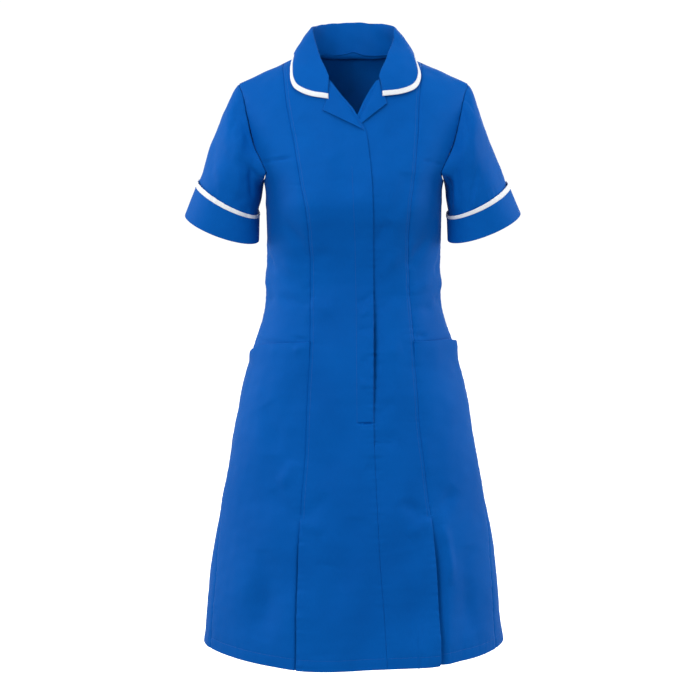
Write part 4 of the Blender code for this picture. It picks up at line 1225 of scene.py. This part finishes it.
def lapel_grid(side):
    """A lapel: rolled over the front's edge and lying on it, its free edges folded."""
    corners = LAPELS[side]
    up = np.linspace(0, 1, 44)[:, None]
    out = np.concatenate([np.linspace(0, 0.965, 30), [0.985, 1.0, 1.0, 0.985, 0.92]])[None, :]
    roll_x = mix(corners.break_x, corners.gorge_x, up) + corners.roll_bow * np.sin(np.pi * up)
    roll_z = mix(corners.break_z, corners.gorge_z, up)
    edge_x = mix(corners.tip_x, corners.notch_x, up)
    edge_z = mix(corners.tip_z, corners.notch_z, up)
    # the free edge is very slightly bowed, and the tip a little rounded
    edge_z = edge_z + 0.001 * np.sin(np.pi * up)
    row, turn = ahead(mix(roll_x, edge_x, out), mix(roll_z, edge_z, out))
    x = surface(row, turn)[..., 0]
    base = CLOTH + LAPEL_LIFT * (0.9 if side == LEFT else 1.4)
    near_roll = np.exp(-out / 0.1)
    edge_drop = np.concatenate([np.zeros(30), [0.22, 0.75, 1.3, 1.7, 1.8]])[None, :] * MM
    lift = base + centre_lift(side, row, x) - 0.0042 * near_roll * (out < 0.5) - edge_drop
    lift = lift + 0.0012 * np.sin(np.pi * np.clip(out, 0, 1)) * (0.4 + 0.6 * np.sin(np.pi * up))
    lift = lift + 0.0003 * waves(surface(row, turn), 0.03, 81 + side)
    points = surface(row, turn) + outward(row, turn) * lift[..., None]
    measure = np.stack([lengths_of(points, 1), lengths_of(points, 0)], -1)
    return points, measure


# ---- making the pieces ----

Cut = namedtuple("Cut", "wide tall area")


def declare(piece, node_name):
    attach(piece, "root")
    if node_name:
        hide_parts(node_name)


def put(name, grid, finish, tube=False, flip=False):
    points, measure = grid.points, grid.measure
    if flip:
        points, measure = points[:, ::-1], measure[:, ::-1]
    piece = sheet(name + "_cloth", points, measure, finish, tube=tube)
    declare(piece, name)


def path_down(grid, distances, goal, low_row, high_row):
    """Stitching path at a distance from an edge, between two heights."""
    face = np.arange(len(EDGE) + 3, len(grid.points) - len(EDGE) - 3)
    column = int(np.argmin(np.abs(distances[len(distances) // 2] - goal)))
    line, normals = grid.points[face, column], grid.normals[face, column]
    held = (line[:, 2] > low_row) & (line[:, 2] < high_row)
    return line[held], normals[held]


def path_across(grid, height):
    """Stitching path along a hem, this far up."""
    up = grid.measure[:, 0, 1]
    face = np.arange(len(EDGE) + 3, len(up) // 2)
    index = face[np.argmin(np.abs(up[face] - height))]
    ends = len(EDGE) + 3
    return grid.points[index, ends:-ends], grid.normals[index, ends:-ends]


def path_at(grid, places):
    """Stitching path through (x, z) places on a panel's face."""
    ends = len(EDGE) + 3
    line, normals = [], []
    heights = np.array([z for _, z in places])
    order = np.argsort(heights)
    for index in range(ends, len(grid.points) - ends):
        row = grid.points[index, ends:-ends]
        z = row[len(row) // 2, 2]
        if not heights.min() < z < heights.max():
            continue
        x = np.interp(z, heights[order], np.array([x for x, _ in places])[order])
        way = np.argsort(row[:, 0])
        line.append([np.interp(x, row[way, 0], row[way, axis]) for axis in range(3)])
        near = way[np.argmin(np.abs(row[way, 0] - x))]
        normals.append(grid.normals[index, ends:-ends][near])
    return np.array(line), np.array(normals)


def dress():
    royal_paths, white_paths = [], []
    for side in (RIGHT, LEFT):
        word = WORD[side]
        front = centre_front(side)
        put("front_" + word, front, ROYAL)
        upper = side_front(side)
        put("side_front_" + word, upper, ROYAL)
        skirt = side_skirt(side)
        put("side_skirt_" + word, skirt, ROYAL)
        royal_paths.append(path_down(front, front.low, STITCH_INSET, -0.745, 0.02))
        royal_paths += [path_across(front, HEM_STITCH), path_across(skirt, HEM_STITCH)]
        if side == RIGHT:
            royal_paths.append(path_at(front, [(-0.003, -0.163), (0.002, -0.285), (0.004, -0.385),
                                               (0.0055, -0.586)]))
        else:
            royal_paths.append(path_at(front, [(0.033, -0.4), (0.0335, -0.5), (0.033, -0.586)]))
        sleeve = sleeve_grid(side)
        put("sleeve_" + word, sleeve, ROYAL, tube=True, flip=side == LEFT)
        cuff = cuff_grid(side)
        put("cuff_" + word, cuff, ROYAL, tube=True, flip=side == LEFT)
        binding = cuff_binding_grid(side)
        put("cuff_binding_" + word, binding, WHITE, tube=True, flip=side == RIGHT)
        white_paths.append((binding.points[3], binding.normals[3]))
        points, measure = lapel_grid(side)
        if side == RIGHT:
            points, measure = points[:, ::-1], measure[:, ::-1]
        lapel = sheet("lapel_%s_cloth" % word, points, measure, ROYAL, wall=0.5 * MM)
        declare(lapel, "lapel_" + word)
    behind = back_panel()
    put("back", behind, ROYAL)
    royal_paths.append(path_across(behind, HEM_STITCH))
    collar, binding, path = collar_pieces()
    white_paths.append(path)
    declare(collar, None)
    declare(binding, None)
    stitches("royal_stitching", royal_paths, ROYAL_THREAD)
    stitches("white_stitching", white_paths, WHITE_THREAD)


dress()


# ---- studio ----

def studio():
    scene = bpy.context.scene
    scene.view_settings.view_transform = "Standard"
    scene.view_settings.look = "None"

    world = bpy.data.worlds.new("studio")
    world.use_nodes = True
    scene.world = world
    tree = world.node_tree
    tree.nodes.clear()
    seen = node(tree, "Background", {"Color": (1, 1, 1, 1), "Strength": 1.05})
    lit = node(tree, "Background", {"Color": (0.96, 0.98, 1, 1), "Strength": 0.58})
    path = node(tree, "LightPath")
    both = node(tree, "MixShader", {0: path.outputs["Is Camera Ray"], 1: lit.outputs[0], 2: seen.outputs[0]})
    tree.links.new(both.outputs[0], node(tree, "OutputWorld").inputs["Surface"])

    floor_mesh = bpy.data.meshes.new("floor")
    reach, level = 9.0, -1.46
    floor_mesh.from_pydata([(-reach, -reach, level), (reach, -reach, level), (reach, reach, level),
                            (-reach, reach, level)], [], [(0, 1, 2, 3)])
    floor = bpy.data.objects.new("floor", floor_mesh)
    scene.collection.objects.link(floor)
    paper = bpy.data.materials.new("floor_paper")
    paper.use_nodes = True
    shader = paper.node_tree.nodes["Principled BSDF"]
    shader.inputs["Base Color"].default_value = (0.93, 0.93, 0.93, 1)
    shader.inputs["Roughness"].default_value = 0.9
    shader.inputs["Emission Color"].default_value = (1, 1, 1, 1)
    shader.inputs["Emission Strength"].default_value = 0.9
    floor.data.materials.append(paper)
    # the floor is as white as the paper behind, and its light isn't needed
    floor.visible_diffuse = False
    floor.visible_glossy = False

    for name, place, aim, size, power in LIGHTS:
        data = bpy.data.lights.new(name, "AREA")
        data.shape = "RECTANGLE"
        data.size, data.size_y = size
        data.energy = power
        light = bpy.data.objects.new(name, data)
        light.location = place
        way = np.array(aim, float) - np.array(place, float)
        light.rotation_euler = (math.atan2(math.hypot(way[0], way[1]), -way[2]), 0,
                                math.atan2(-way[0], way[1]))
        scene.collection.objects.link(light)

    camera_data = bpy.data.cameras.new("camera")
    camera_data.lens = 104
    camera_data.sensor_width = 36
    camera = bpy.data.objects.new("camera", camera_data)
    camera.location = (-0.006, -3.4, -0.05)
    camera.rotation_euler = (math.radians(82.792), 0, 0)
    scene.collection.objects.link(camera)
    scene.camera = camera


LIGHTS = [
    ("key", (-1.2, -2.1, 0.85), (0, 0, -0.2), (1.0, 1.2), 27),
    ("fill", (1.6, -2.2, 0.6), (0, 0, -0.2), (1.0, 1.4), 12),
    ("side_right", (-2.2, 0.6, 0.1), (0, 0, -0.25), (0.7, 1.6), 28),
    ("side_left", (2.2, 0.6, 0.1), (0, 0, -0.25), (0.7, 1.6), 28),
    ("top", (0, -0.7, 2.2), (0, 0, 0), (1.2, 1.2), 13),
    ("behind", (0.6, 3.0, 0.8), (0, 0, -0.4), (1.6, 1.6), 26),
]

studio()
